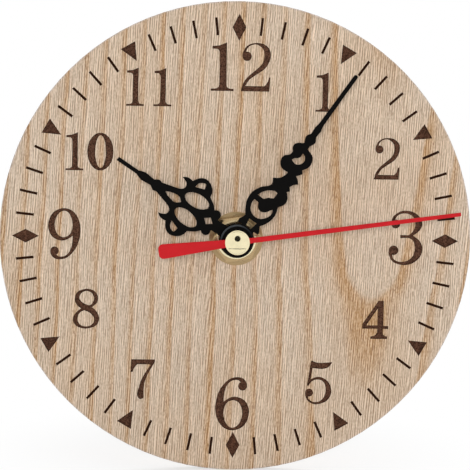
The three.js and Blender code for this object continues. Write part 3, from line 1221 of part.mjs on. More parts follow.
export default wallClock;
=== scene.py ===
"""Looks of the wooden wall clock: pale wood with burnt-in marks, painted hands, polished brass
and the black moulded movement behind the board."""

import math

import bmesh
import bpy
from bpy.props import FloatProperty, FloatVectorProperty, IntProperty, PointerProperty
from mathutils import Matrix, Vector


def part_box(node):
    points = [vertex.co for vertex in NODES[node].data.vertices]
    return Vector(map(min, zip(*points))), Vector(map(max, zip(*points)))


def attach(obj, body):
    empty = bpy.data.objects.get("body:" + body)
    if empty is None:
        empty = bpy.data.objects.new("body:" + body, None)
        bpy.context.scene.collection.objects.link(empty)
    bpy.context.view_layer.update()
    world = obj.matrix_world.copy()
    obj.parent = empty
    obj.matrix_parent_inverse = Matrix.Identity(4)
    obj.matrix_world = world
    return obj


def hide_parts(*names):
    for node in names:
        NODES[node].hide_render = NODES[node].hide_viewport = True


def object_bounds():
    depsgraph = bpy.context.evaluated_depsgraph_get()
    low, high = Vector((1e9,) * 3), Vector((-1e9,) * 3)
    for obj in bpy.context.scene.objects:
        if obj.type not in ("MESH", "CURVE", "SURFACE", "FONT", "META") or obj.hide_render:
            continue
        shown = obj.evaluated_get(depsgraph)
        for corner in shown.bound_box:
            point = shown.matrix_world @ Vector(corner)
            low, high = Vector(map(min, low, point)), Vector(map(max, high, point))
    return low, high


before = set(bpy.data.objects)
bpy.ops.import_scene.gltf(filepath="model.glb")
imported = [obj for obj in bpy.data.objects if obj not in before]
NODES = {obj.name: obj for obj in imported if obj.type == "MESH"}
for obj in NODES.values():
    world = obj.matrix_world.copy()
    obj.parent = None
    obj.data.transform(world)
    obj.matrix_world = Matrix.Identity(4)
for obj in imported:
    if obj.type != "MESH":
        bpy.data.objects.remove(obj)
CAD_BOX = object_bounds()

bl_info = {
    "name": "Wooden wall clock",
    "version": (1, 0, 0),
    "blender": (4, 5, 0),
    "location": "View3D > Sidebar > Clock",
    "description": "Dresses the pieces of a wooden wall clock and sets its stage",
    "category": "Object",
}

MM = 0.001
TO_MM = (1000.0, 1000.0, 1000.0)
FACE_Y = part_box("dial_board")[0].y
BOARD_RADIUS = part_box("dial_board")[1].x

# Joining, smoothing and softening of the meshes
WELD_DISTANCE = 1e-6
SMOOTH_ANGLE = math.radians(32)
FLAT_ANGLE = math.radians(0.2)
CORNER_ANGLE = math.radians(40)

# Soft edges of small pieces
GASKET_EDGE = 0.10 * MM
WASHER_EDGE = 0.06 * MM
NUT_EDGE = 0.09 * MM
BUSHING_EDGE = 0.08 * MM
SHEET_METAL_EDGE = 0.05 * MM
CRYSTAL_EDGE = 0.12 * MM

# Steps of the turned cap, its edge's flatness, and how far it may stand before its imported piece
CAP_EDGE_STEPS = 10
CAP_CROWN_STEPS = 20
CAP_EDGE_FLATNESS = 0.6
CAP_SLACK = 0.2 * MM

# Figure of the wood: waves per millimetre across, through and along the board
SWAY_GRAIN = (0.05, 0.05, 0.012)
RIPPLE_GRAIN = (0.5, 0.5, 0.05)
PATCH_GRAIN = (0.16, 0.16, 0.022)
FIBRE_GRAIN = (4.2, 4.2, 1.6)
HAIR_GRAIN = (4.4, 4.4, 0.045)
STRAY_GRAIN = (0.7, 0.7, 0.012)
DASH_GRAIN = (1.6, 1.6, 0.35)
COARSE_GRAIN = (0.85, 0.85, 0.045)
PORE_GRAIN = (2.9, 2.9, 0.75)
DRIFT_GRAIN = (0.06, 0.06, 0.03)
SOOT_GRAIN = (3.2, 3.2, 3.2)
LINES_PER_MM = 1.7
LINE_STRAY = 7.0
VIGOUR_STEP = 1.73
VIGOUR_SEED = (3.7, 1.3)

# Arch of rings: two heights between which the heart sinks, and how far, in millimetres
ARCH_LOW = -17.0
ARCH_HIGH = -8.0
ARCH_DIP = 0.55

# Tints that multiply the wood's colour
DARK_FIBRE = (0.67, 0.63, 0.59)
PALE_FIBRE = (1.30, 1.33, 1.36)
# The chamfer's tint is painted light, lightening the chamfer that the front lamps light less
PAINTED_EDGE_LIGHT = (1.14, 1.20, 1.34)
END_GRAIN_TONE = 0.74
DEEP_BURN_TONE = 0.72

# Where the painted light on the face's chamfer and the burnt marks lie, in millimetres
ARRIS_WIDTH = 0.4
ARRIS_BLUR = 0.1
FACE_SLACK = 0.004
FLOOR_SLACK = 0.1
MARKS_FROM_AXIS = 12.0
MARKS_FROM_RIM = 2.0
TICK_BLUR = 0.2

# Colours inside finishes
# A paler grey painted on the minute hub's upper-left rim: a painted highlight
PAINTED_RIM_HIGHLIGHT = (0.060, 0.066, 0.072)
DUST = (0.30, 0.28, 0.26)
TRACK_GREEN = (0.06, 0.23, 0.08)
BATTERY_SEAL = (0.03, 0.03, 0.03)

# Coil and circuit board, in millimetres
WIRES_PER_MM = 4.0
TRACK_HALF_PITCH = 0.9
TRACK_JOG_GRAIN = (0.5, 0.5, 0.2)
WEAVE_GRAIN = (3.0, 3.0, 3.0)

# Marks on the battery, in millimetres, with the seam's bearing and widths in radians about the axis
NICKEL_RADIUS = 5.6
NUB_LENGTH = 1.15
SEAL_INNER = 3.0
SEAL_OUTER = 4.0
CRIMP_FROM_END = 3.4
SEAM_BEARING = 0.62
SEAM_HALF_WIDTHS = (0.012, 0.03)
CRIMP_HALF_WIDTHS = (0.25, 0.5)

# Signs on the cover, in millimetres, and the arrow's angles about the knob
SIGN_BAR_SHARE = 0.22
SIGN_BLUR = 0.06
SIGN_FROM_BATTERY_END = 5.0
SIGN_FROM_COVER_EDGE = 3.2
KNOB_WELL_GAP = 0.8
ARROW_GAP = 1.7
ARROW_HALF_WIDTH = 0.2
ARROW_HEAD_HALF_WIDTH = 0.95
ARROW_START = math.radians(48)
ARROW_HEAD_START = math.radians(130)
ARROW_SHAFT_END = math.radians(134)
ARROW_TIP = math.radians(147)
COVER_FACE = -0.05

# Stage, with lengths in metres
FLOOR_WIDTH = 12.0
FLOOR_SIDES = 96
DISC_SIDES = 48
SHADOW_NEAR = 0.022
SHADOW_FAR = 0.075
SHADOW_CATCHER = (0.45, 0.45, 0.45)
SHADOW_GLOW = 0.63
WHITE = (1.0, 1.0, 1.0)
KEY_WIDTH = 0.3
KEY_PLACE = Vector((-0.075, -1.25, 0.145))
FILL_WIDTH = 0.7
FILL_PLACE = Vector((0.75, -0.70, 0.25))
BACK_WIDTH = 0.8
BACK_PLACE = Vector((0.35, 0.95, 0.75))
HOOD_BEHIND_CAMERA = 0.02
HOOD_TONE = 0.004
MAT_SIDE = 0.007
MAT_LIFT = 0.5 * MM

# Camera: the sensor in millimetres, the picture and its shift in pixels
SENSOR_WIDTH = 36.0
PICTURE_WIDTH = 470
SHIFT_RIGHT = -1.0
SHIFT_UP = 3.4


# Settings that a user would change

def length(label, about, default):
    """A length property, in metres."""
    return FloatProperty(name=label, description=about, default=default, unit="LENGTH", precision=5)


def share(label, about, default):
    """A share between none and all."""
    return FloatProperty(
        name=label, description=about, default=default, min=0.0, max=1.0, subtype="FACTOR")


def colour(label, about, default):
    """A linear colour without alpha."""
    return FloatVectorProperty(
        name=label, description=about, default=default, size=3, min=0.0, max=1.0, subtype="COLOR")


def angle(label, about, degrees):
    """An angle property, given in degrees."""
    return FloatProperty(name=label, description=about, default=math.radians(degrees), subtype="ANGLE")


def power(label, about, watts):
    """The power of a lamp, in watts."""
    return FloatProperty(name=label, description=about, default=watts, unit="POWER")


class WoodSettings(bpy.types.PropertyGroup):
    """Colours and figure of the wooden board"""

    pale: colour("Pale wood", "Wood between the streaks", (0.600, 0.482, 0.373))
    warm: colour("Warm wood", "Slow warm drift of the pale wood", (0.584, 0.449, 0.330))
    streak: colour("Streak", "Tan end of each year's ring", (0.464, 0.275, 0.133))
    edge_line: colour("Edge line", "Thin pale line beside each streak", (0.720, 0.550, 0.410))
    pore: colour("Pore", "Short open pores", (0.235, 0.125, 0.070))
    burnt: colour("Burnt floor", "Floor of the burnt-in marks", (0.090, 0.0420, 0.0255))
    # Also darkens the narrow ticks: charring, and painted shade in their grooves
    charred: colour("Charred wall", "Walls of the burnt-in marks", (0.022, 0.0070, 0.0026))
    ring: length("Ring width", "Width of one year's growth", 4.6 * MM)
    heart_side: length("Heart side", "How far right the cathedral figure lies", 35.6 * MM)
    heart_depth: length("Heart depth", "How deep the tree's heart lies behind the face", 21.85 * MM)
    side_lean: FloatProperty(
        name="Side lean", description="How far right the heart leans per length of board", default=0.058)
    depth_lean: FloatProperty(
        name="Depth lean", description="How far back the heart leans per length of board", default=-0.053)
    engraving: length("Engraving", "Depth of the burnt-in marks", 0.4 * MM)
    scorched_edge: length("Scorched edge", "Width of the dark edge along the burnt-in marks", 0.050 * MM)
    # Beyond this radius the narrow ticks are darker, partly as painted shade in their grooves
    tick_ring: length("Tick ring", "Radius where the deeper-burnt ticks begin", 51.4 * MM)


class HandSettings(bpy.types.PropertyGroup):
    """Paint and edges of the three hands"""

    black: colour("Black paint", "Paint of the hour and minute hands", (0.0032, 0.0028, 0.0026))
    red: colour("Red paint", "Paint of the second hand", (0.550, 0.0155, 0.0205))
    edge: length("Edge", "Width of the red hand's soft corner", 0.08 * MM)
    # Within this radius the minute hub's upper-left rim carries a painted highlight
    hub_rim: length("Hub rim", "Radius within which the minute hub's rim is rubbed glossy", 4.3 * MM)


class BrassSettings(bpy.types.PropertyGroup):
    """Brass of the cap, nut, washer, bushing, pipe and contacts"""

    # This colour also paints the nut's bright ring, which is a painted reflection
    polished: colour("Polished brass", "Cap, and the bright ring on the nut", (0.890, 0.795, 0.520))
    dull: colour("Dull brass", "Bushing, pipe and contacts", (0.600, 0.445, 0.225))
    # Darker than the cap's brass: partly a duller finish, partly painted shade under the hub and hands
    worn: colour("Worn brass", "Nut and washer", (0.470, 0.335, 0.178))
    face_radius: length("Nut face", "Radius of the nut's flat round face", 4.95 * MM)
    face_band: length("Nut band", "Width of the bright ring at that face's edge", 0.45 * MM)
    cap_radius: length("Cap radius", "Radius of the cap on the second hand", 3.1 * MM)
    cap_side: length("Cap side", "Height of the cap's straight side", 1.1 * MM)
    cap_crown: length("Cap crown", "How far the cap's top is domed", 0.28 * MM)
    cap_edge: length("Cap edge", "Radius of the cap's rounded edge", 0.34 * MM)
    stem_radius: length("Stem radius", "Radius of the cap's stem and pipe", 1.4 * MM)
    flange_radius: length("Flange radius", "Radius of the flange behind the hand", 2.9 * MM)
    flange_thickness: length("Flange thickness", "Thickness of that flange", 0.4 * MM)
    bore: length("Bore", "Radius of the pipe's bore", 0.55 * MM)
    thread: length("Thread", "Pitch of the bushing's thread", 0.75 * MM)
    cap_sides: IntProperty(
        name="Cap sides", description="Straight steps round the cap", default=128, min=24)


class MovementSettings(bpy.types.PropertyGroup):
    """Plastics, metals and marks of the movement"""

    black: colour("Black plastic", "Case, cover and knob", (0.0165, 0.0165, 0.0180))
    wheel: colour("Wheel plastic", "Wheels and bobbin", (0.760, 0.725, 0.630))
    rubber: colour("Rubber", "Gasket under the board", (0.018, 0.018, 0.018))
    steel: colour("Steel", "Seconds arbor, clutch spring and motor iron", (0.560, 0.570, 0.580))
    copper: colour("Copper", "Enamelled wire of the coil", (0.560, 0.190, 0.060))
    magnet: colour("Magnet", "Rotor magnet", (0.070, 0.070, 0.075))
    mask: colour("Solder mask", "Circuit board", (0.022, 0.140, 0.050))
    resin: colour("Resin", "Drop of resin over the chip", (0.006, 0.006, 0.006))
    sleeve: colour("Sleeve", "Plain sleeve of the battery", (0.185, 0.200, 0.215))
    nickel: colour("Nickel", "Ends of the battery, and the crystal's can", (0.640, 0.625, 0.590))
    edge: length("Edge", "Rounding of the moulded edges", 0.22 * MM)
    sign: length("Sign", "Size of the moulded signs", 3.2 * MM)


class StageSettings(bpy.types.PropertyGroup):
    """Floor, light and camera"""

    floor: colour("Floor", "Pale floor", (0.80, 0.80, 0.80))
    ambient: share("Ambient", "Even light from all round", 0.30)
    key: power("Key", "Power of the front lamp", 8.65)
    fill: power("Fill", "Power of the side lamp", 1.1)
    back: power("Back", "Power of the rear lamp", 9.5)
    lens: FloatProperty(
        name="Lens", description="Focal length of the camera", default=144.36 * MM, unit="CAMERA")
    distance: length("Distance", "From the camera to the dial", 0.480)
    lens_spot: length("Lens hood", "Width of the lens hood that the cap mirrors", 0.110)
    mat_length: length("Mat length", "Length of the mat on the floor that the cap mirrors", 0.150)
    mat_width: length("Mat width", "Width of that mat", 0.020)
    mat_distance: length("Mat distance", "How far before the wall that mat lies", 0.206)
    mat_tone: share("Mat tone", "How pale that mat is", 0.80)
    azimuth: angle("Azimuth", "How far right the camera stands", -2.0)
    elevation: angle("Elevation", "How high the camera stands", 5.7)
    roll: angle("Roll", "How far the picture is turned", 0.95)
    hood_azimuth: angle("Hood azimuth", "How far right the lens hood stands", 2.0)
    hood_elevation: angle("Hood elevation", "How high the lens hood stands", 3.2)


class ClockSettings(bpy.types.PropertyGroup):
    """All settings of the clock"""

    wood: PointerProperty(name="Wood", description="The board", type=WoodSettings)
    hands: PointerProperty(name="Hands", description="The hands", type=HandSettings)
    brass: PointerProperty(name="Brass", description="The brass pieces", type=BrassSettings)
    movement: PointerProperty(name="Movement", description="The movement", type=MovementSettings)
    stage: PointerProperty(name="Stage", description="The stage", type=StageSettings)


def settings():
    """The settings kept with the open scene."""
    return bpy.context.scene.clock_settings


# Node graphs

class Graph:
    """A node tree, with short calls that add nodes to it and link them."""

    def __init__(self, tree):
        self.tree = tree

    def feed(self, socket, value):
        """Links a socket to another one, or sets its own value."""
        if isinstance(value, bpy.types.NodeSocket):
            self.tree.links.new(value, socket)
        elif socket.type == "RGBA" and len(value) == 3:
            socket.default_value = (*value, 1.0)
        else:
            socket.default_value = value

    def add(self, kind, inputs=None, **options):
        """A new node with its options and inputs."""
        node = self.tree.nodes.new(kind)
        for name, value in options.items():
            setattr(node, name, value)
        for key, value in (inputs or {}).items():
            self.feed(node.inputs[key], value)
        return node

    def math(self, operation, *values):
        return self.add("ShaderNodeMath", dict(enumerate(values)), operation=operation).outputs[0]

    def chain(self, operation, first, others):
        for other in others:
            first = self.math(operation, first, other)
        return first

    def total(self, first, *others):
        return self.chain("ADD", first, others)

    def product(self, first, *others):
        return self.chain("MULTIPLY", first, others)

    def minus(self, first, *others):
        return self.chain("SUBTRACT", first, others)

    def either(self, first, *others):
        """The largest of several masks."""
        return self.chain("MAXIMUM", first, others)

    def absolute(self, value):
        return self.math("ABSOLUTE", value)

    def over(self, value, limit):
        return self.math("GREATER_THAN", value, limit)

    def under(self, value, limit):
        return self.math("LESS_THAN", value, limit)

    def distance(self, across, up):
        """How far a place is from an axis, by two distances at right angles."""
        return self.math("SQRT", self.total(self.product(across, across), self.product(up, up)))

    def ramp(self, value, low, high, start=0.0, end=1.0, kind="SMOOTHSTEP"):
        """Goes from start to end while the value goes from low to high."""
        inputs = {"Value": value, "From Min": low, "From Max": high, "To Min": start, "To Max": end}
        return self.add("ShaderNodeMapRange", inputs, interpolation_type=kind).outputs[0]

    def fade(self, value, low, high, start=1.0, end=0.0):
        """Falls from start to end while the value goes from low to high."""
        return self.ramp(value, low, high, start, end)

    def mix(self, amount, first, second, blend="MIX"):
        inputs = {0: amount, 6: first, 7: second}
        return self.add(
            "ShaderNodeMix", inputs, data_type="RGBA", blend_type=blend).outputs[2]

    def toned(self, shade, tone):
        """The colour made lighter or darker by a factor."""
        return self.add(
            "ShaderNodeVectorMath", {0: shade, "Scale": tone}, operation="SCALE").outputs[0]

    def scaled(self, point, factors):
        return self.add("ShaderNodeVectorMath", {0: point, 1: factors}, operation="MULTIPLY").outputs[0]

    def noise(self, point, scale, detail=2.0, roughness=0.5):
        """Cloudy noise about one half; three scales draw it out along an axis."""
        if isinstance(scale, tuple):
            point = self.scaled(point, scale)
            scale = 1.0
        inputs = {"Vector": point, "Scale": scale, "Detail": detail, "Roughness": roughness}
        return self.add("ShaderNodeTexNoise", inputs).outputs[0]

    def parts(self, point):
        return self.add("ShaderNodeSeparateXYZ", {0: point}).outputs[:3]

    def joined(self, x, y, z):
        return self.add("ShaderNodeCombineXYZ", {0: x, 1: y, 2: z}).outputs[0]

    def bump(self, height, strength, distance):
        inputs = {"Height": height, "Strength": strength, "Distance": distance}
        return self.add("ShaderNodeBump", inputs).outputs[0]

    def place(self):
        """The place in the object's own frame, in metres; a piece's own frame is the shared one."""
        return self.add("ShaderNodeTexCoord").outputs["Object"]

    def point_mm(self):
        """The same place in millimetres."""
        return self.scaled(self.place(), TO_MM)

    def facing(self):
        """The piece's own surface direction."""
        return self.add("ShaderNodeTexCoord").outputs["Normal"]

    def grouped(self, name, **inputs):
        """The outputs of a shared group, placed with its own inputs."""
        return self.add("ShaderNodeGroup", inputs, node_tree=bpy.data.node_groups[name]).outputs


SKIN_OUTPUTS = ("Tone", "Roughness", "Height")


def new_group(name, vectors, values, outputs):
    """An empty shader node group; returns its graph, what it is given and what it puts out."""
    tree = bpy.data.node_groups.new(name, "ShaderNodeTree")
    sockets = (
        (vectors, "INPUT", "NodeSocketVector"), (values, "INPUT", "NodeSocketFloat"),
        (outputs, "OUTPUT", "NodeSocketFloat"))
    for labels, way, kind in sockets:
        for label in labels:
            tree.interface.new_socket(label, in_out=way, socket_type=kind)
    graph = Graph(tree)
    return graph, graph.add("NodeGroupInput").outputs, graph.add("NodeGroupOutput").inputs


def moulded_skin_group():
    """Fine spark-eroded grain of a moulded surface, with slow cloudy drift in tone and gloss."""
    graph, given, out = new_group("moulded_skin", ["Point"], ["Grain"], SKIN_OUTPUTS)
    pits = graph.noise(given["Point"], graph.math("DIVIDE", 1.0, given["Grain"]), roughness=0.6)
    cloud = graph.noise(given["Point"], 0.09, 3.0, 0.55)
    tone = graph.total(graph.ramp(cloud, 0.25, 0.75, -0.16, 0.16), graph.ramp(pits, 0.25, 0.75, 0.78, 1.22))
    graph.feed(out["Tone"], tone)
    rough = graph.total(graph.ramp(cloud, 0.3, 0.7, -0.05, 0.05), graph.ramp(pits, 0.2, 0.8, 0.42, 0.6))
    graph.feed(out["Roughness"], rough)
    graph.feed(out["Height"], pits)


def settled_dust_group():
    """Thin dust that settles on faces turned upwards, in uneven patches."""
    graph, given, out = new_group("settled_dust", ["Point", "Facing"], ["Amount"], ["Mask"])
    upward = graph.ramp(graph.parts(given["Facing"])[2], 0.35, 0.95)
    patches = graph.ramp(graph.noise(given["Point"], 0.7, 4.0, 0.65), 0.35, 0.7, 0.25, 1.0)
    graph.feed(out["Mask"], graph.product(upward, patches, given["Amount"]))


def handled_metal_group():
    """Faint turning marks round the clock's axis and smudges on bare metal."""
    graph, given, out = new_group("handled_metal", ["Point"], ["Marks", "Rough"], SKIN_OUTPUTS)
    x, y, z = graph.parts(given["Point"])
    rings = graph.noise(graph.joined(graph.distance(x, z), y, 0.0), 9.0, roughness=0.6)
    smudge = graph.noise(given["Point"], 0.45, 3.0, 0.6)
    graph.feed(out["Tone"], graph.ramp(smudge, 0.25, 0.75, 0.94, 1.03))
    blur = graph.product(graph.ramp(smudge, 0.3, 0.75, 0.75, 1.35), given["Rough"])
    scored = graph.product(graph.ramp(rings, 0.3, 0.7, -0.04, 0.04), given["Marks"])
    graph.feed(out["Roughness"], graph.total(blur, scored))
    graph.feed(out["Height"], graph.product(rings, given["Marks"]))


def paint_film_group():
    """Sprayed paint: slight orange peel and thin spots in the tone."""
    graph, given, out = new_group("paint_film", ["Point"], [], SKIN_OUTPUTS)
    peel = graph.noise(given["Point"], 2.6)
    drift = graph.noise(given["Point"], 0.16)
    graph.feed(out["Tone"], graph.total(
        graph.ramp(drift, 0.3, 0.7, 0.92, 1.04), graph.ramp(peel, 0.3, 0.7, -0.03, 0.03)))
    graph.feed(out["Roughness"], graph.ramp(peel, 0.25, 0.75, 0.36, 0.5))
    graph.feed(out["Height"], peel)


SHARED_GROUPS = (moulded_skin_group, settled_dust_group, handled_metal_group, paint_film_group)


def shared_groups():
    """Builds each shared group once."""
    for build in SHARED_GROUPS:
        if build.__name__.removesuffix("_group") not in bpy.data.node_groups:
            build()


def bare_tree(owner):
    """The emptied node tree of a material or world."""
    owner.use_nodes = True
    owner.node_tree.nodes.clear()
    return owner.node_tree


class Finish(Graph):
    """The graph of a new material; plain values go on the shader's own sockets."""

    def __init__(self, name, **sockets):
        shared_groups()
        self.material = bpy.data.materials.new(name)
        super().__init__(bare_tree(self.material))
        shader = self.add("ShaderNodeBsdfPrincipled")
        for label, value in sockets.items():
            shader.inputs[label.replace("_", " ")].default_value = value
        self.add("ShaderNodeOutputMaterial", {"Surface": shader.outputs["BSDF"]})
        self.shader = shader.inputs

    def done(self, shade, rough, height, strength, depth):
        """The material, with its colour, roughness and relief."""
        self.feed(self.shader["Base Color"], shade)
        self.feed(self.shader["Roughness"], rough)
        self.feed(self.shader["Normal"], self.bump(height, strength, depth))
        return self.material


# Wood of the board

def year_rings(graph, wood, point):
    """Year rings about a heart that lies behind the face and leans to one side: how far a place is
    beside and behind the heart, the dark late wood, and the pale lines next to it."""
    x, y, z = graph.parts(point)
    sway = graph.noise(point, SWAY_GRAIN)
    ripple = graph.noise(point, RIPPLE_GRAIN, roughness=0.55)
    wander = graph.total(
        graph.ramp(sway, 0.2, 0.8, -0.8, 0.8, "LINEAR"),
        graph.ramp(ripple, 0.2, 0.8, -0.22, 0.22, "LINEAR"))
    side = graph.total(x, graph.product(z, -wood.side_lean), wander, -wood.heart_side / MM)
    dip = graph.fade(z, ARCH_LOW, ARCH_HIGH, ARCH_DIP)
    heart_y = wood.heart_depth / MM + FACE_Y / MM
    behind = graph.total(graph.product(z, wood.depth_lean), graph.product(y, -1.0), heart_y, dip)
    heart = graph.distance(side, behind)
    year = graph.math("DIVIDE", heart, wood.ring / MM)
    within = graph.math("FRACT", year)
    number = graph.math("FLOOR", year)
    vigour = graph.noise(graph.joined(number, *VIGOUR_SEED), VIGOUR_STEP, detail=0.0)
    patch = graph.noise(point, PATCH_GRAIN, 3.0, 0.6)
    strength = graph.product(
        graph.ramp(vigour, 0.3, 0.7, 0.7, 1.0), graph.ramp(patch, 0.35, 0.65, 0.55, 1.0))
    core = graph.fade(within, 0.13, 0.40, 0.66)
    tail = graph.ramp(within, 0.10, 0.72, 0.34, 0.0, "LINEAR")
    late = graph.product(graph.ramp(within, 0.0, 0.09), strength, graph.total(core, tail))
    steep = graph.math("DIVIDE", graph.absolute(side), heart)
    edge_line = graph.product(
        graph.ramp(within, 0.88, 0.94), graph.fade(within, 0.97, 1.0), strength,
        graph.ramp(steep, 0.3, 0.7))
    return side, behind, late, edge_line


def wood_fibre(graph, point, grain, front):
    """The fibre alone, and its sum with long hairs and, on flat faces, rows of broken lines."""
    fibre = graph.noise(grain, FIBRE_GRAIN, detail=0.0)
    hair = graph.noise(grain, HAIR_GRAIN, 0.0, 0.6)
    stray = graph.noise(point, STRAY_GRAIN, detail=1.0)
    dash = graph.noise(grain, DASH_GRAIN, detail=0.0)
    side = graph.parts(grain)[0]
    row = graph.math("SINE", graph.total(
        graph.product(side, 2 * math.pi * LINES_PER_MM), graph.product(stray, LINE_STRAY)))
    flat = graph.ramp(front, 0.3, 0.8)
    line = graph.product(row, flat, graph.ramp(dash, 0.35, 0.65, -0.1, 1.0, "LINEAR"))
    thread = graph.total(
        graph.product(fibre, 0.34), graph.product(hair, 0.26), graph.product(line, 0.34), 0.20)
    return fibre, thread


def burnt_marks(graph, wood, point, radius, front, coarse):
    """The mask and colour of the burnt-in marks: everything that lies just under the face; walls are
    charred, and the narrow ticks are darkened towards that colour, partly charring and partly painted shade
    in their narrow grooves.
    """
    x, y, z = graph.parts(point)
    face = FACE_Y / MM
    mask = graph.product(
        graph.over(y, face + FACE_SLACK), graph.under(y, face + wood.engraving / MM + FLOOR_SLACK),
        graph.under(radius, BOARD_RADIUS / MM - MARKS_FROM_RIM), graph.over(radius, MARKS_FROM_AXIS))
    soot = graph.noise(point, SOOT_GRAIN, 1.0, 0.6)
    deep = [part * DEEP_BURN_TONE for part in wood.burnt]
    scorch = graph.toned(
        graph.mix(graph.ramp(coarse, 0.3, 0.7), wood.burnt, deep), graph.ramp(soot, 0.3, 0.7, 0.5, 1.6))
    wall = graph.fade(front, 0.75, 0.95)
    hours = graph.product(graph.math("ARCTAN2", x, z), 6.0 / math.pi)
    from_hour = graph.absolute(graph.total(graph.math("FRACT", graph.total(hours, 12.5)), -0.5))
    ring = wood.tick_ring / MM
    # Narrow ticks darkened towards the charred colour: charring, and painted shade in their narrow grooves
    tick_char_and_shade = graph.product(
        graph.ramp(radius, ring - TICK_BLUR, ring), graph.ramp(from_hour, 0.10, 0.12, 0.2, 0.9))
    return mask, graph.mix(graph.either(wall, tick_char_and_shade), scorch, wood.charred)


def wood_finish(wood):
    """Flat-sawn pale wood with ring streaks, fibre and pores; the engraved marks are burnt brown."""
    graph = Finish("oiled_wood", Specular_IOR_Level=0.12)
    point = graph.point_mm()
    x, y, z = graph.parts(point)
    forward, upward = graph.parts(graph.facing())[1:]
    front = graph.absolute(forward)
    radius = graph.distance(x, z)
    side, behind, late, edge_line = year_rings(graph, wood, point)
    fibre, thread = wood_fibre(graph, point, graph.joined(side, behind, z), front)
    coarse = graph.noise(point, COARSE_GRAIN)
    speck = graph.noise(point, PORE_GRAIN, detail=1.0)
    pore = graph.product(graph.ramp(speck, 0.62, 0.72), graph.ramp(late, 0.0, 0.5, 0.25, 1.0))

    # Bare wood: slow drift, streaks broken up by the fibre, pale lines, the fibre itself and pores
    shade = graph.mix(graph.ramp(graph.noise(point, DRIFT_GRAIN), 0.3, 0.7), wood.pale, wood.warm)
    broken = graph.product(late, graph.ramp(thread, 0.35, 0.65, 1.35, 0.65, "LINEAR"))
    shade = graph.mix(broken, shade, wood.streak)
    shade = graph.mix(graph.product(edge_line, 0.6), shade, wood.edge_line)
    tint = graph.mix(graph.ramp(thread, 0.3, 0.7, kind="LINEAR"), DARK_FIBRE, PALE_FIBRE)
    shade = graph.mix(1.0, shade, tint, "MULTIPLY")
    shade = graph.toned(shade, graph.ramp(coarse, 0.25, 0.75, 0.965, 1.035))
    shade = graph.mix(graph.product(pore, 0.55), shade, wood.pore)

    # End grain on the rim's top and bottom is darker, and the chamfer round the face is painted paler:
    # painted light where the front lamps light it less
    ends = graph.ramp(graph.absolute(upward), 0.75, 0.98)
    shade = graph.toned(shade, graph.fade(ends, 0.0, 1.0, 1.0, END_GRAIN_TONE))
    arris_radius = BOARD_RADIUS / MM - ARRIS_WIDTH
    # Painted light along the chamfer round the face
    edge_light = graph.product(
        graph.ramp(radius, arris_radius, arris_radius + ARRIS_BLUR),
        graph.fade(forward, -0.6, -0.5), graph.ramp(forward, -0.9, -0.8))
    shade = graph.mix(edge_light, shade, graph.mix(1.0, shade, PAINTED_EDGE_LIGHT, "MULTIPLY"))

    burnt, scorch = burnt_marks(graph, wood, point, radius, front, coarse)
    shade = graph.mix(burnt, shade, scorch)
    rough = graph.total(graph.ramp(fibre, 0.25, 0.75, 0.66, 0.54), graph.product(burnt, 0.22))
    relief = graph.total(fibre, graph.product(pore, -0.8), graph.product(coarse, 0.4))
    return graph.done(shade, rough, relief, strength=0.35, depth=0.06 * MM)


# Metal, paint and plastic

def metal_finish(name, tint, rough, marks):
    """Bare metal with faint turning marks; the rougher it is, the duller."""
    graph = Finish(name, Metallic=1.0)
    metal = graph.grouped("handled_metal", Point=graph.point_mm(), Marks=marks, Rough=rough)
    shade = graph.toned(tint, metal["Tone"])
    return graph.done(shade, metal["Roughness"], metal["Height"], strength=0.12, depth=0.01 * MM)


def nut_finish(brass):
    """Worn brass, darker partly as painted shade, with a painted reflection: a bright ring along the edge
    of the flat face, strongest at the bottom where the hub shades it least.
    """
    graph = Finish("nut_brass", Metallic=1.0)
    point = graph.point_mm()
    x, y, z = graph.parts(point)
    metal = graph.grouped("handled_metal", Point=point, Marks=0.5, Rough=0.26)
    radius = graph.distance(x, z)
    edge = brass.face_radius / MM
    inner = edge - brass.face_band / MM
    # Painted reflection: the ring is brightest low on the front face and fades upwards
    painted_glint = graph.product(
        graph.ramp(radius, inner, inner + 0.1), graph.fade(radius, edge, edge + 0.08),
        graph.fade(graph.parts(graph.facing())[1], -0.9, -0.6), graph.fade(z, 0.0, 2.2, 1.0, 0.25))
    shade = graph.mix(painted_glint, graph.toned(brass.worn, metal["Tone"]), brass.polished)
    return graph.done(shade, metal["Roughness"], metal["Height"], strength=0.12, depth=0.01 * MM)


def thread_finish(brass):
    """Bushing brass with its screw thread, darker in the thread's grooves as painted shade."""
    graph = Finish("threaded_brass", Metallic=1.0)
    point = graph.point_mm()
    x, y, z = graph.parts(point)
    metal = graph.grouped("handled_metal", Point=point, Marks=0.4, Rough=0.3)
    way_round = graph.math("DIVIDE", graph.math("ARCTAN2", z, x), 2 * math.pi)
    climb = graph.math("FRACT", graph.total(graph.math("DIVIDE", y, brass.thread / MM), way_round))
    ridge = graph.math("PINGPONG", climb, 0.5)
    # Painted shade: the thread's grooves are darker than its crests
    worn = graph.product(metal["Tone"], graph.ramp(ridge, 0.0, 0.35, 0.7, 1.05))
    shade = graph.toned(brass.dull, worn)
    return graph.done(shade, metal["Roughness"], ridge, strength=0.9, depth=0.5 * MM)


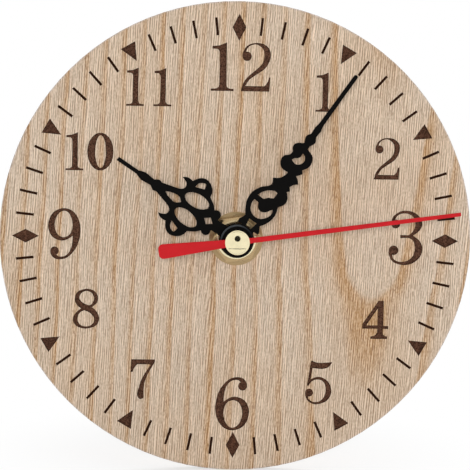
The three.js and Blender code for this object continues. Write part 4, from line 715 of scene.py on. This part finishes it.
def paint_finish(name, tint, gloss, rubbed=0.0):
    """Sprayed paint on a stamped hand; within a given radius, the hub's sloping rim carries a painted
    highlight on its upper left.
    """
    graph = Finish(name, Specular_IOR_Level=gloss)
    point = graph.point_mm()
    film = graph.grouped("paint_film", Point=point)
    shade = graph.toned(tint, film["Tone"])
    if rubbed > 0.0:
        x, y, z = graph.parts(point)
        # Painted highlight on the hub's sloping rim, strongest at the top left and fading to the right
        slope = graph.fade(graph.absolute(graph.parts(graph.facing())[1]), 0.8, 0.95)
        upper = graph.product(graph.ramp(z, -1.0, 2.0), graph.fade(x, 0.0, 3.6, 1.0, 0.1))
        rim = graph.product(slope, upper, graph.under(graph.distance(x, z), rubbed))
        shade = graph.mix(rim, shade, PAINTED_RIM_HIGHLIGHT)
    return graph.done(shade, film["Roughness"], film["Height"], strength=0.18, depth=0.03 * MM)


def moulded_finish(name, tint, grain, dust=0.0, signs=None, **sockets):
    """Moulded plastic or rubber with its grain, some dust, and moulded signs where there are any, painted
    lighter as a painted sheen.
    """
    graph = Finish(name, **sockets)
    point = graph.point_mm()
    skin = graph.grouped("moulded_skin", Point=point, Grain=grain)
    shade = graph.toned(tint, skin["Tone"])
    rough = skin["Roughness"]
    height = graph.product(skin["Height"], 0.5)
    if signs is not None:
        mark = signs(graph, point)
        # The raised signs are painted lighter: a painted sheen, besides their real gloss and relief
        shade = graph.toned(shade, graph.ramp(mark, 0.0, 1.0, 1.0, 4.0))
        rough = graph.total(rough, graph.product(mark, -0.16))
        height = graph.total(height, mark)
    if dust > 0.0:
        film = graph.grouped("settled_dust", Point=point, Facing=graph.facing(), Amount=dust)
        shade = graph.mix(film["Mask"], shade, DUST)
        rough = graph.total(rough, graph.product(film["Mask"], 0.5))
    return graph.done(shade, rough, height, strength=0.3, depth=0.12 * MM)


def wound_wire_finish(movement):
    """Fine enamelled wire, turn beside turn along the coil, with painted shade in the grooves between
    turns.
    """
    graph = Finish("enamelled_wire", Metallic=0.85, Coat_Weight=0.4)
    x, y, z = graph.parts(graph.point_mm())
    wire = graph.math("PINGPONG", graph.product(z, WIRES_PER_MM), 0.5)
    layer = graph.noise(graph.joined(graph.product(x, 0.4), graph.product(y, 0.4), z), 0.5)
    # Each turn is painted darker towards its edges: painted shade in the grooves between turns, with a
    # random tone by layer
    tone = graph.total(graph.ramp(wire, 0.0, 0.5, 0.6, 1.1), graph.ramp(layer, 0.3, 0.7, -0.1, 0.1))
    shade = graph.toned(movement.copper, tone)
    rough = graph.ramp(layer, 0.3, 0.7, 0.26, 0.42)
    return graph.done(shade, rough, wire, strength=0.8, depth=0.12 * MM)


def solder_mask_finish(movement):
    """Green board with paler tracks under the mask."""
    graph = Finish("solder_mask", Coat_Weight=0.3)
    point = graph.point_mm()
    x, y, z = graph.parts(point)
    jog = graph.ramp(graph.noise(point, TRACK_JOG_GRAIN), 0.4, 0.6, 0.0, 1.6)
    track = graph.ramp(graph.math("PINGPONG", graph.total(z, jog), TRACK_HALF_PITCH), 0.5, 0.6)
    weave = graph.noise(point, WEAVE_GRAIN, detail=1.0)
    mask = graph.toned(movement.mask, graph.ramp(weave, 0.3, 0.7, 0.9, 1.1))
    shade = graph.mix(track, mask, TRACK_GREEN)
    rough = graph.ramp(weave, 0.3, 0.7, 0.38, 0.5)
    return graph.done(shade, rough, track, strength=0.4, depth=0.05 * MM)


def battery_finish(movement):
    """Plain satin sleeve with a seam, shrunk over the edges, and bright nickel ends; the seam and the crimp
    groove are painted darker as painted shade.
    """
    graph = Finish("battery_sleeve")
    point = graph.point_mm()
    x, y, z = graph.parts(point)
    low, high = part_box("battery")
    middle = (low + high) / 2
    across = graph.minus(z, middle.z / MM)
    deep = graph.minus(y, middle.y / MM)
    radius = graph.distance(across, deep)
    end = graph.under(radius, NICKEL_RADIUS)
    bare = graph.either(end, graph.over(x, high.x / MM - NUB_LENGTH))
    seal = graph.product(graph.under(radius, SEAL_OUTER), graph.over(radius, SEAL_INNER))
    metal = graph.grouped("handled_metal", Point=point, Marks=0.0, Rough=0.26)
    film = graph.grouped("paint_film", Point=point)
    from_seam = graph.minus(graph.math("ARCTAN2", across, deep), SEAM_BEARING)
    seam = graph.fade(graph.absolute(from_seam), *SEAM_HALF_WIDTHS)
    from_crimp = graph.minus(x, high.x / MM - CRIMP_FROM_END)
    crimp = graph.fade(graph.absolute(from_crimp), *CRIMP_HALF_WIDTHS)
    # The seam and the crimp groove are painted darker: painted shade, with their real relief below
    plain = graph.toned(movement.sleeve, graph.total(
        film["Tone"], graph.product(seam, -0.45), graph.product(crimp, -0.3)))
    shade = graph.mix(bare, plain, graph.toned(movement.nickel, metal["Tone"]))
    shade = graph.mix(graph.product(seal, end), shade, BATTERY_SEAL)
    graph.feed(graph.shader["Metallic"], graph.ramp(bare, 0.0, 1.0, 0.35, 1.0))
    rough = graph.ramp(bare, 0.0, 1.0, 0.38, metal["Roughness"], "LINEAR")
    relief = graph.total(
        graph.product(film["Height"], 0.2), graph.product(seam, -1.0), graph.product(crimp, -1.0))
    return graph.done(shade, rough, relief, strength=0.5, depth=0.1 * MM)


# Moulded signs on the cover, drawn on its outer face

def box_mask(graph, across, up, width, height):
    """One where both distances are within a rectangle."""
    wide = graph.fade(graph.absolute(across), width / 2 - SIGN_BLUR, width / 2 + SIGN_BLUR)
    high = graph.fade(graph.absolute(up), height / 2 - SIGN_BLUR, height / 2 + SIGN_BLUR)
    return graph.product(wide, high)


def arrow_mask(graph, across, rise, well_radius):
    """An arrow that bends round the knob's well."""
    way_round = graph.math("ARCTAN2", rise, across)
    off = graph.absolute(graph.minus(graph.distance(across, rise), well_radius + ARROW_GAP))
    shaft = graph.product(
        graph.fade(off, ARROW_HALF_WIDTH, ARROW_HALF_WIDTH + 2 * SIGN_BLUR),
        graph.over(way_round, ARROW_START), graph.under(way_round, ARROW_SHAFT_END))
    taper = graph.ramp(way_round, ARROW_HEAD_START, ARROW_TIP, ARROW_HEAD_HALF_WIDTH, 0.0, "LINEAR")
    head = graph.product(graph.under(off, taper), graph.over(way_round, ARROW_HEAD_START))
    return graph.either(shaft, head)


def cover_signs(sign_size, knob_middle, well_radius, battery_ends, sign_height):
    """A maker of the mask of the plus, the minus and the setting arrow round the knob, all in mm."""
    bar = sign_size * SIGN_BAR_SHARE

    def mask(graph, point):
        x, y, z = graph.parts(point)
        up = graph.minus(z, sign_height)
        from_minus = graph.minus(x, battery_ends[0])
        from_plus = graph.minus(x, battery_ends[1])
        across = graph.minus(x, knob_middle[0])
        rise = graph.minus(z, knob_middle[1])
        signs = graph.either(
            box_mask(graph, from_minus, up, sign_size, bar), box_mask(graph, from_plus, up, sign_size, bar),
            box_mask(graph, from_plus, up, bar, sign_size), arrow_mask(graph, across, rise, well_radius))
        return graph.product(signs, graph.over(y, COVER_FACE))

    return mask


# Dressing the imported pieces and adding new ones

def smoothing_group():
    """Geometry nodes that shade smooth across every edge blunter than an angle."""
    name = "smooth_by_angle"
    if name in bpy.data.node_groups:
        return bpy.data.node_groups[name]
    tree = bpy.data.node_groups.new(name, "GeometryNodeTree")
    tree.interface.new_socket("Geometry", in_out="INPUT", socket_type="NodeSocketGeometry")
    tree.interface.new_socket("Angle", in_out="INPUT", socket_type="NodeSocketFloat")
    tree.interface.new_socket("Geometry", in_out="OUTPUT", socket_type="NodeSocketGeometry")
    graph = Graph(tree)
    given = graph.add("NodeGroupInput").outputs
    fold = graph.add("GeometryNodeInputMeshEdgeAngle").outputs["Unsigned Angle"]
    sharp = graph.add(
        "FunctionNodeCompare", {"A": fold, "B": given["Angle"]},
        data_type="FLOAT", operation="GREATER_THAN").outputs["Result"]
    smooth = graph.add(
        "GeometryNodeSetShadeSmooth", {"Geometry": given["Geometry"], "Shade Smooth": True}, domain="FACE")
    edges = graph.add(
        "GeometryNodeSetShadeSmooth",
        {"Geometry": smooth.outputs[0], "Selection": sharp, "Shade Smooth": False}, domain="EDGE")
    graph.add("NodeGroupOutput", {"Geometry": edges.outputs[0]})
    return tree


def soften(piece, edge, segments, clamp):
    """Joins the piece's flat triangles and bevels its sharp edges."""
    flat = piece.modifiers.new("flat_faces", "DECIMATE")
    flat.decimate_type = "DISSOLVE"
    flat.angle_limit = FLAT_ANGLE
    soft = piece.modifiers.new("soft_edge", "BEVEL")
    soft.width = edge
    soft.segments = segments
    soft.limit_method = "ANGLE"
    soft.use_clamp_overlap = clamp
    soft.loop_slide = False
    soft.angle_limit = CORNER_ANGLE


def dress(node, material, edge=0.0, segments=1, clamp=True):
    """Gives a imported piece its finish, joins its split corners and softens its edges."""
    piece = NODES[node]
    split_normals = piece.data.attributes.get("custom_normal")
    if split_normals is not None:
        piece.data.attributes.remove(split_normals)
    piece.data.materials.clear()
    piece.data.materials.append(material)
    weld = piece.modifiers.new("weld", "WELD")
    weld.merge_threshold = WELD_DISTANCE
    if edge > 0.0:
        soften(piece, edge, segments, clamp)
    smooth = piece.modifiers.new("smooth", "NODES")
    smooth.node_group = smoothing_group()
    limit = next(item for item in smooth.node_group.interface.items_tree
                 if item.in_out == "INPUT" and item.name == "Angle")
    smooth[limit.identifier] = SMOOTH_ANGLE


def placed(name, data, place=(0.0, 0.0, 0.0), turned=None):
    """A new object at its place, turned where a quaternion is given."""
    item = bpy.data.objects.new(name, data)
    item.location = place
    if turned is not None:
        item.rotation_mode = "QUATERNION"
        item.rotation_quaternion = turned
    bpy.context.scene.collection.objects.link(item)
    return item


def new_piece(name, mesh, material, body):
    """A new piece that rides on a body."""
    piece = placed(name, mesh)
    mesh.materials.append(material)
    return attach(piece, body)


def mesh_of(name, shape):
    """A mesh made from a working shape, which is then freed."""
    mesh = bpy.data.meshes.new(name)
    shape.to_mesh(mesh)
    shape.free()
    return mesh


def lathe(name, profile, sides):
    """A closed turned mesh about the clock's axis; the profile lists radius and place along Y."""
    shape = bmesh.new()
    step = 2 * math.pi / sides
    rings = []
    for radius, along in profile:
        if radius < WELD_DISTANCE:
            rings.append([shape.verts.new((0.0, along, 0.0))])
            continue
        rings.append([
            shape.verts.new((radius * math.cos(i * step), along, radius * math.sin(i * step)))
            for i in range(sides)])
    for near, far in zip(rings, rings[1:] + rings[:1]):
        if len(near) == 1 and len(far) == 1:
            continue
        for i in range(sides):
            j = (i + 1) % sides
            corners = [near[i % len(near)], near[j % len(near)], far[j % len(far)], far[i % len(far)]]
            shape.faces.new(list(dict.fromkeys(corners)))
    bmesh.ops.recalc_face_normals(shape, faces=shape.faces)
    mesh = mesh_of(name, shape)
    mesh.shade_smooth()
    mesh.set_sharp_from_angle(angle=SMOOTH_ANGLE)
    return mesh


def cap_profile(brass, back, hand_front, hand_back):
    """Radius and place along Y of the cap, its stem through the hand, the flange and the bored pipe."""
    shoulder = hand_front - brass.cap_side
    rounded = []
    for i in range(CAP_EDGE_STEPS + 1):
        bend = math.radians(90 * i / CAP_EDGE_STEPS)
        rounded.append((
            brass.cap_radius - brass.cap_edge * (1 - math.cos(bend)),
            shoulder + brass.cap_edge * CAP_EDGE_FLATNESS * (1 - math.sin(bend))))
    crown_radius = brass.cap_radius - brass.cap_edge
    crown = []
    for i in range(1, CAP_CROWN_STEPS + 1):
        part = 1 - i / CAP_CROWN_STEPS
        crown.append((crown_radius * part, shoulder - brass.cap_crown * (1 - part * part)))
    return [
        (brass.bore, back), (brass.stem_radius, back),
        (brass.stem_radius, hand_back + brass.flange_thickness),
        (brass.flange_radius, hand_back + brass.flange_thickness),
        (brass.flange_radius, hand_back), (brass.stem_radius, hand_back),
        (brass.stem_radius, hand_front), (brass.cap_radius, hand_front),
        *rounded, *crown, (0.0, hand_front), (brass.bore, hand_front),
    ]


# Stage

def white_to_eye(graph):
    """One for rays that show a surface to the eye, straight or in metal and glass."""
    path = graph.add("ShaderNodeLightPath").outputs
    return graph.either(path["Is Camera Ray"], path["Is Glossy Ray"], path["Is Transmission Ray"])


def disc_mesh(name, width, height, sides):
    """A flat disc or oval."""
    shape = bmesh.new()
    bmesh.ops.create_circle(shape, cap_ends=True, radius=0.5, segments=sides)
    bmesh.ops.scale(shape, vec=(width, height, 1.0), verts=shape.verts)
    return mesh_of(name, shape)


def floor_finish(stage):
    """White to the eye, with the object's soft shadow close by, and pale to the light."""
    material = bpy.data.materials.new("pale_floor")
    graph = Graph(bare_tree(material))
    away = graph.add("ShaderNodeVectorMath", {0: graph.place()}, operation="LENGTH").outputs["Value"]
    far = graph.ramp(away, SHADOW_NEAR, SHADOW_FAR)
    matt = graph.add("ShaderNodeBsdfDiffuse", {"Color": stage.floor}).outputs[0]
    catcher = graph.add("ShaderNodeBsdfDiffuse", {"Color": SHADOW_CATCHER}).outputs[0]
    glow = graph.add("ShaderNodeEmission", {"Color": WHITE, "Strength": SHADOW_GLOW}).outputs[0]
    white = graph.add("ShaderNodeEmission", {"Color": WHITE, "Strength": 1.0}).outputs[0]
    near = graph.add("ShaderNodeAddShader", {0: catcher, 1: glow}).outputs[0]
    shown = graph.add("ShaderNodeMixShader", {0: far, 1: near, 2: white}).outputs[0]
    surface = graph.add("ShaderNodeMixShader", {0: white_to_eye(graph), 1: matt, 2: shown}).outputs[0]
    graph.add("ShaderNodeOutputMaterial", {"Surface": surface})
    return material


def make_floor(stage):
    """A large pale floor under the clock."""
    mesh = disc_mesh("floor", FLOOR_WIDTH, FLOOR_WIDTH, FLOOR_SIDES)
    mesh.materials.append(floor_finish(stage))
    floor = placed("floor", mesh, (0.0, 0.0, CAD_BOX[0].z))


def make_world(stage):
    """White all round to the eye, and an even light on the object."""
    world = bpy.data.worlds.new("studio")
    graph = Graph(bare_tree(world))
    level = graph.ramp(white_to_eye(graph), 0.0, 1.0, stage.ambient, 1.0, "LINEAR")
    sky = graph.add("ShaderNodeBackground", {"Color": WHITE, "Strength": level})
    graph.add("ShaderNodeOutputWorld", {"Surface": sky.outputs[0]})
    bpy.context.scene.world = world


def soft_lamp(name, watts, width, place, aim, mirrored=False):
    """A square lamp turned to the aim and out of sight; metal shows it only if mirrored."""
    data = bpy.data.lights.new(name, "AREA")
    data.energy = watts
    data.shape = "SQUARE"
    data.size = width
    lamp = placed(name, data, place, (aim - place).to_track_quat("-Z", "Y"))
    lamp.visible_camera = False
    lamp.visible_glossy = mirrored


def heading(azimuth, elevation):
    """The direction from the dial to a place in front of it."""
    level = math.cos(elevation)
    return Vector((math.sin(azimuth) * level, -math.cos(azimuth) * level, math.sin(elevation)))


def make_camera(stage, aim):
    """The photograph's view of the dial."""
    towards = heading(stage.azimuth, stage.elevation)
    data = bpy.data.cameras.new("camera")
    data.lens = stage.lens / MM
    data.sensor_width = SENSOR_WIDTH
    data.shift_x = SHIFT_RIGHT / PICTURE_WIDTH
    data.shift_y = SHIFT_UP / PICTURE_WIDTH
    level = (-towards).to_track_quat("-Z", "Y")
    turned = level @ Matrix.Rotation(stage.roll, 3, "Z").to_quaternion()
    bpy.context.scene.camera = placed("camera", data, aim + towards * stage.distance, turned)


def mirrored_disc(name, width, height, tone, place, towards):
    """A flat matt disc or oval that only mirroring surfaces show."""
    mesh = disc_mesh(name, width, height, DISC_SIDES)
    disc = placed(name, mesh, place, towards.to_track_quat("Z", "Y"))
    for ray in ("camera", "diffuse", "transmission", "volume_scatter", "shadow"):
        setattr(disc, f"visible_{ray}", False)
    graph = Finish(name, Roughness=0.9)
    speck = graph.noise(graph.place(), 40.0)
    shade = graph.toned((tone, tone, tone), graph.ramp(speck, 0.2, 0.8))
    graph.feed(graph.shader["Base Color"], shade)
    mesh.materials.append(graph.material)


def make_mirrored(stage, aim):
    """The lens hood and the mat on the floor, which the cap mirrors."""
    towards = heading(stage.hood_azimuth, stage.hood_elevation)
    hood_place = aim + towards * (stage.distance + HOOD_BEHIND_CAMERA)
    mirrored_disc("lens_hood", stage.lens_spot, stage.lens_spot, HOOD_TONE, hood_place, towards)
    mat_place = Vector((MAT_SIDE, -stage.mat_distance, CAD_BOX[0].z + MAT_LIFT))
    mirrored_disc(
        "table_mat", stage.mat_length, stage.mat_width, stage.mat_tone, mat_place, Vector((0.0, 0.0, 1.0)))


# Operators, one for the stage and one for each piece or group of like pieces

class ClockOperator(bpy.types.Operator):
    """Base of the clock's operators"""

    bl_options = {"REGISTER", "UNDO"}


class CLOCK_OT_stage(ClockOperator):
    """Lay the pale floor, hang the lamps, and place the camera and what the cap mirrors"""

    bl_idname = "clock.stage"
    bl_label = "Stage"

    def execute(self, context):
        stage = settings().stage
        context.scene.view_settings.view_transform = "Standard"
        make_floor(stage)
        make_world(stage)
        aim = Vector((0.0, FACE_Y, 0.0))
        soft_lamp("key_lamp", stage.key, KEY_WIDTH, KEY_PLACE, aim)
        soft_lamp("fill_lamp", stage.fill, FILL_WIDTH, FILL_PLACE, aim)
        soft_lamp("back_lamp", stage.back, BACK_WIDTH, BACK_PLACE, Vector(), mirrored=True)
        make_camera(stage, aim)
        make_mirrored(stage, aim)
        return {"FINISHED"}


class CLOCK_OT_board(ClockOperator):
    """Give the wooden board its grain and burnt-in marks"""

    bl_idname = "clock.board"
    bl_label = "Wooden board"

    def execute(self, context):
        wood = settings().wood
        dress("dial_board", wood_finish(wood), wood.scorched_edge, clamp=False)
        return {"FINISHED"}


class CLOCK_OT_clamp(ClockOperator):
    """Finish the gasket, washer, nut and threaded bushing that clamp the board"""

    bl_idname = "clock.clamp"
    bl_label = "Clamp stack"

    def execute(self, context):
        brass = settings().brass
        rubber = moulded_finish("gasket_rubber", settings().movement.rubber, grain=0.5)
        dress("rubber_gasket", rubber, GASKET_EDGE)
        # The washer's darker brass is partly painted shade under the nut and hands
        dress("brass_washer", metal_finish("washer_brass", brass.worn, rough=0.36, marks=1.0), WASHER_EDGE)
        dress("hex_nut", nut_finish(brass), NUT_EDGE, segments=2, clamp=False)
        dress("threaded_bushing", thread_finish(brass), BUSHING_EDGE)
        return {"FINISHED"}


class CLOCK_OT_hands(ClockOperator):
    """Paint the hour, minute and second hands"""

    bl_idname = "clock.hands"
    bl_label = "Hands"

    def execute(self, context):
        hands = settings().hands
        black = paint_finish("black_paint", hands.black, gloss=0.05, rubbed=hands.hub_rim / MM)
        dress("hour_hand", black)
        dress("minute_hand", black)
        dress("second_hand", paint_finish("red_paint", hands.red, gloss=0.14), hands.edge, clamp=False)
        return {"FINISHED"}


class CLOCK_OT_cap(ClockOperator):
    """Turn the polished cap with its flange and pipe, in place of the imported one"""

    bl_idname = "clock.cap"
    bl_label = "Brass cap"

    def execute(self, context):
        brass = settings().brass
        front, back = (corner.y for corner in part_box("second_hand_boss"))
        hand_front, hand_back = (corner.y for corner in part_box("second_hand"))
        if hand_front - brass.cap_side - brass.cap_crown < front - CAP_SLACK:
            raise RuntimeError("the cap stands in front of its packed piece")
        profile = cap_profile(brass, back, hand_front, hand_back)
        cap = new_piece(
            "second_hand_cap", lathe("second_hand_cap", profile, brass.cap_sides),
            metal_finish("cap_brass", brass.polished, rough=0.05, marks=0.15), "second_hand_set")
        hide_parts("second_hand_boss")
        return {"FINISHED"}


class CLOCK_OT_case(ClockOperator):
    """Finish the movement's case and its back cover with the moulded signs"""

    bl_idname = "clock.case"
    bl_label = "Movement case"

    def execute(self, context):
        movement = settings().movement
        case = moulded_finish(
            "case_plastic", movement.black, grain=0.4, dust=0.10, Specular_IOR_Level=0.3)
        dress("movement_case", case, movement.edge)
        knob_low, knob_high = (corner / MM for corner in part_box("setting_knob"))
        knob = (knob_low + knob_high) / 2
        cover_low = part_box("back_cover")[0] / MM
        battery_low, battery_high = (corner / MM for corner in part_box("battery"))
        signs = cover_signs(
            movement.sign / MM, (knob.x, knob.z), (knob_high.x - knob_low.x) / 2 + KNOB_WELL_GAP,
            (battery_low.x + SIGN_FROM_BATTERY_END, battery_high.x - SIGN_FROM_BATTERY_END),
            cover_low.z + SIGN_FROM_COVER_EDGE)
        cover = moulded_finish(
            "cover_plastic", movement.black, grain=0.4, dust=0.05, signs=signs, Specular_IOR_Level=0.3)
        dress("back_cover", cover, movement.edge / 2)
        return {"FINISHED"}


class CLOCK_OT_knob(ClockOperator):
    """Finish the ridged setting knob"""

    bl_idname = "clock.knob"
    bl_label = "Setting knob"

    def execute(self, context):
        movement = settings().movement
        knob = moulded_finish("knob_plastic", movement.black, grain=0.25, Specular_IOR_Level=0.35)
        dress("setting_knob", knob, movement.edge / 3)
        return {"FINISHED"}


class CLOCK_OT_battery(ClockOperator):
    """Finish the battery and its two contacts"""

    bl_idname = "clock.battery"
    bl_label = "Battery and contacts"

    def execute(self, context):
        dress("battery", battery_finish(settings().movement))
        contact = metal_finish("contact_brass", settings().brass.dull, rough=0.28, marks=0.0)
        dress("positive_contact", contact, SHEET_METAL_EDGE)
        dress("negative_contact", contact, SHEET_METAL_EDGE)
        return {"FINISHED"}


class CLOCK_OT_circuit(ClockOperator):
    """Finish the circuit board, its crystal and its chip"""

    bl_idname = "clock.circuit"
    bl_label = "Circuit"

    def execute(self, context):
        movement = settings().movement
        dress("circuit_board", solder_mask_finish(movement))
        can = metal_finish("crystal_can", movement.nickel, rough=0.24, marks=0.0)
        dress("quartz_crystal", can, CRYSTAL_EDGE, segments=2)
        dress("driver_chip", moulded_finish("chip_resin", movement.resin, grain=0.9, Coat_Weight=0.6))
        return {"FINISHED"}


class CLOCK_OT_motor(ClockOperator):
    """Finish the coil, its iron and the rotor"""

    bl_idname = "clock.motor"
    bl_label = "Stepping motor"

    def execute(self, context):
        movement = settings().movement
        iron = metal_finish("motor_iron", movement.steel, rough=0.34, marks=0.0)
        dress("coil_core", iron, SHEET_METAL_EDGE)
        dress("stator", iron, SHEET_METAL_EDGE)
        dress("coil_bobbin", moulded_finish("bobbin_plastic", movement.wheel, grain=0.3))
        dress("coil_winding", wound_wire_finish(movement))
        dress("rotor_magnet", moulded_finish("sintered_magnet", movement.magnet, grain=0.2, Metallic=0.5))
        return {"FINISHED"}


class CLOCK_OT_train(ClockOperator):
    """Finish the wheels, pinions and arbors of the train"""

    bl_idname = "clock.train"
    bl_label = "Wheel train"

    def execute(self, context):
        movement = settings().movement
        wheel = moulded_finish("wheel_plastic", movement.wheel, grain=0.3)
        for node in ("rotor_pinion", "intermediate_wheel", "seconds_wheel", "third_wheel",
                     "centre_wheel", "motion_wheel", "hour_wheel"):
            dress(node, wheel)
        steel = metal_finish("arbor_steel", movement.steel, rough=0.22, marks=0.5)
        dress("seconds_arbor", steel)
        dress("clutch_spring", steel)
        dress("minute_pipe", metal_finish("pipe_brass", settings().brass.dull, rough=0.22, marks=0.5))
        return {"FINISHED"}


class CLOCK_PT_sidebar(bpy.types.Panel):
    """Lists the clock's operators and settings in the sidebar"""

    bl_idname = "CLOCK_PT_sidebar"
    bl_label = "Wooden wall clock"
    bl_space_type = "VIEW_3D"
    bl_region_type = "UI"
    bl_category = "Clock"

    def draw(self, context):
        for operator in OPERATORS:
            self.layout.operator(operator.bl_idname)
        for part in ClockSettings.__annotations__:
            box = self.layout.box()
            box.label(text=part.capitalize())
            group = getattr(settings(), part)
            for name in group.__annotations__:
                box.prop(group, name)


OPERATORS = (
    CLOCK_OT_stage, CLOCK_OT_board, CLOCK_OT_clamp, CLOCK_OT_hands, CLOCK_OT_cap, CLOCK_OT_case,
    CLOCK_OT_knob, CLOCK_OT_battery, CLOCK_OT_circuit, CLOCK_OT_motor, CLOCK_OT_train,
)
CLASSES = (
    WoodSettings, HandSettings, BrassSettings, MovementSettings, StageSettings, ClockSettings,
    *OPERATORS, CLOCK_PT_sidebar,
)


def register():
    for item in CLASSES:
        bpy.utils.register_class(item)
    bpy.types.Scene.clock_settings = PointerProperty(
        name="Clock", description="Settings of the wooden wall clock", type=ClockSettings)


def unregister():
    del bpy.types.Scene.clock_settings
    for item in reversed(CLASSES):
        bpy.utils.unregister_class(item)


def main():
    """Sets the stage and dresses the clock."""
    register()
    for name in ("stage", "board", "clamp", "hands", "cap", "case", "knob", "battery", "circuit",
                 "motor", "train"):
        getattr(bpy.ops.clock, name)()


if __name__ == "__main__":
    main()
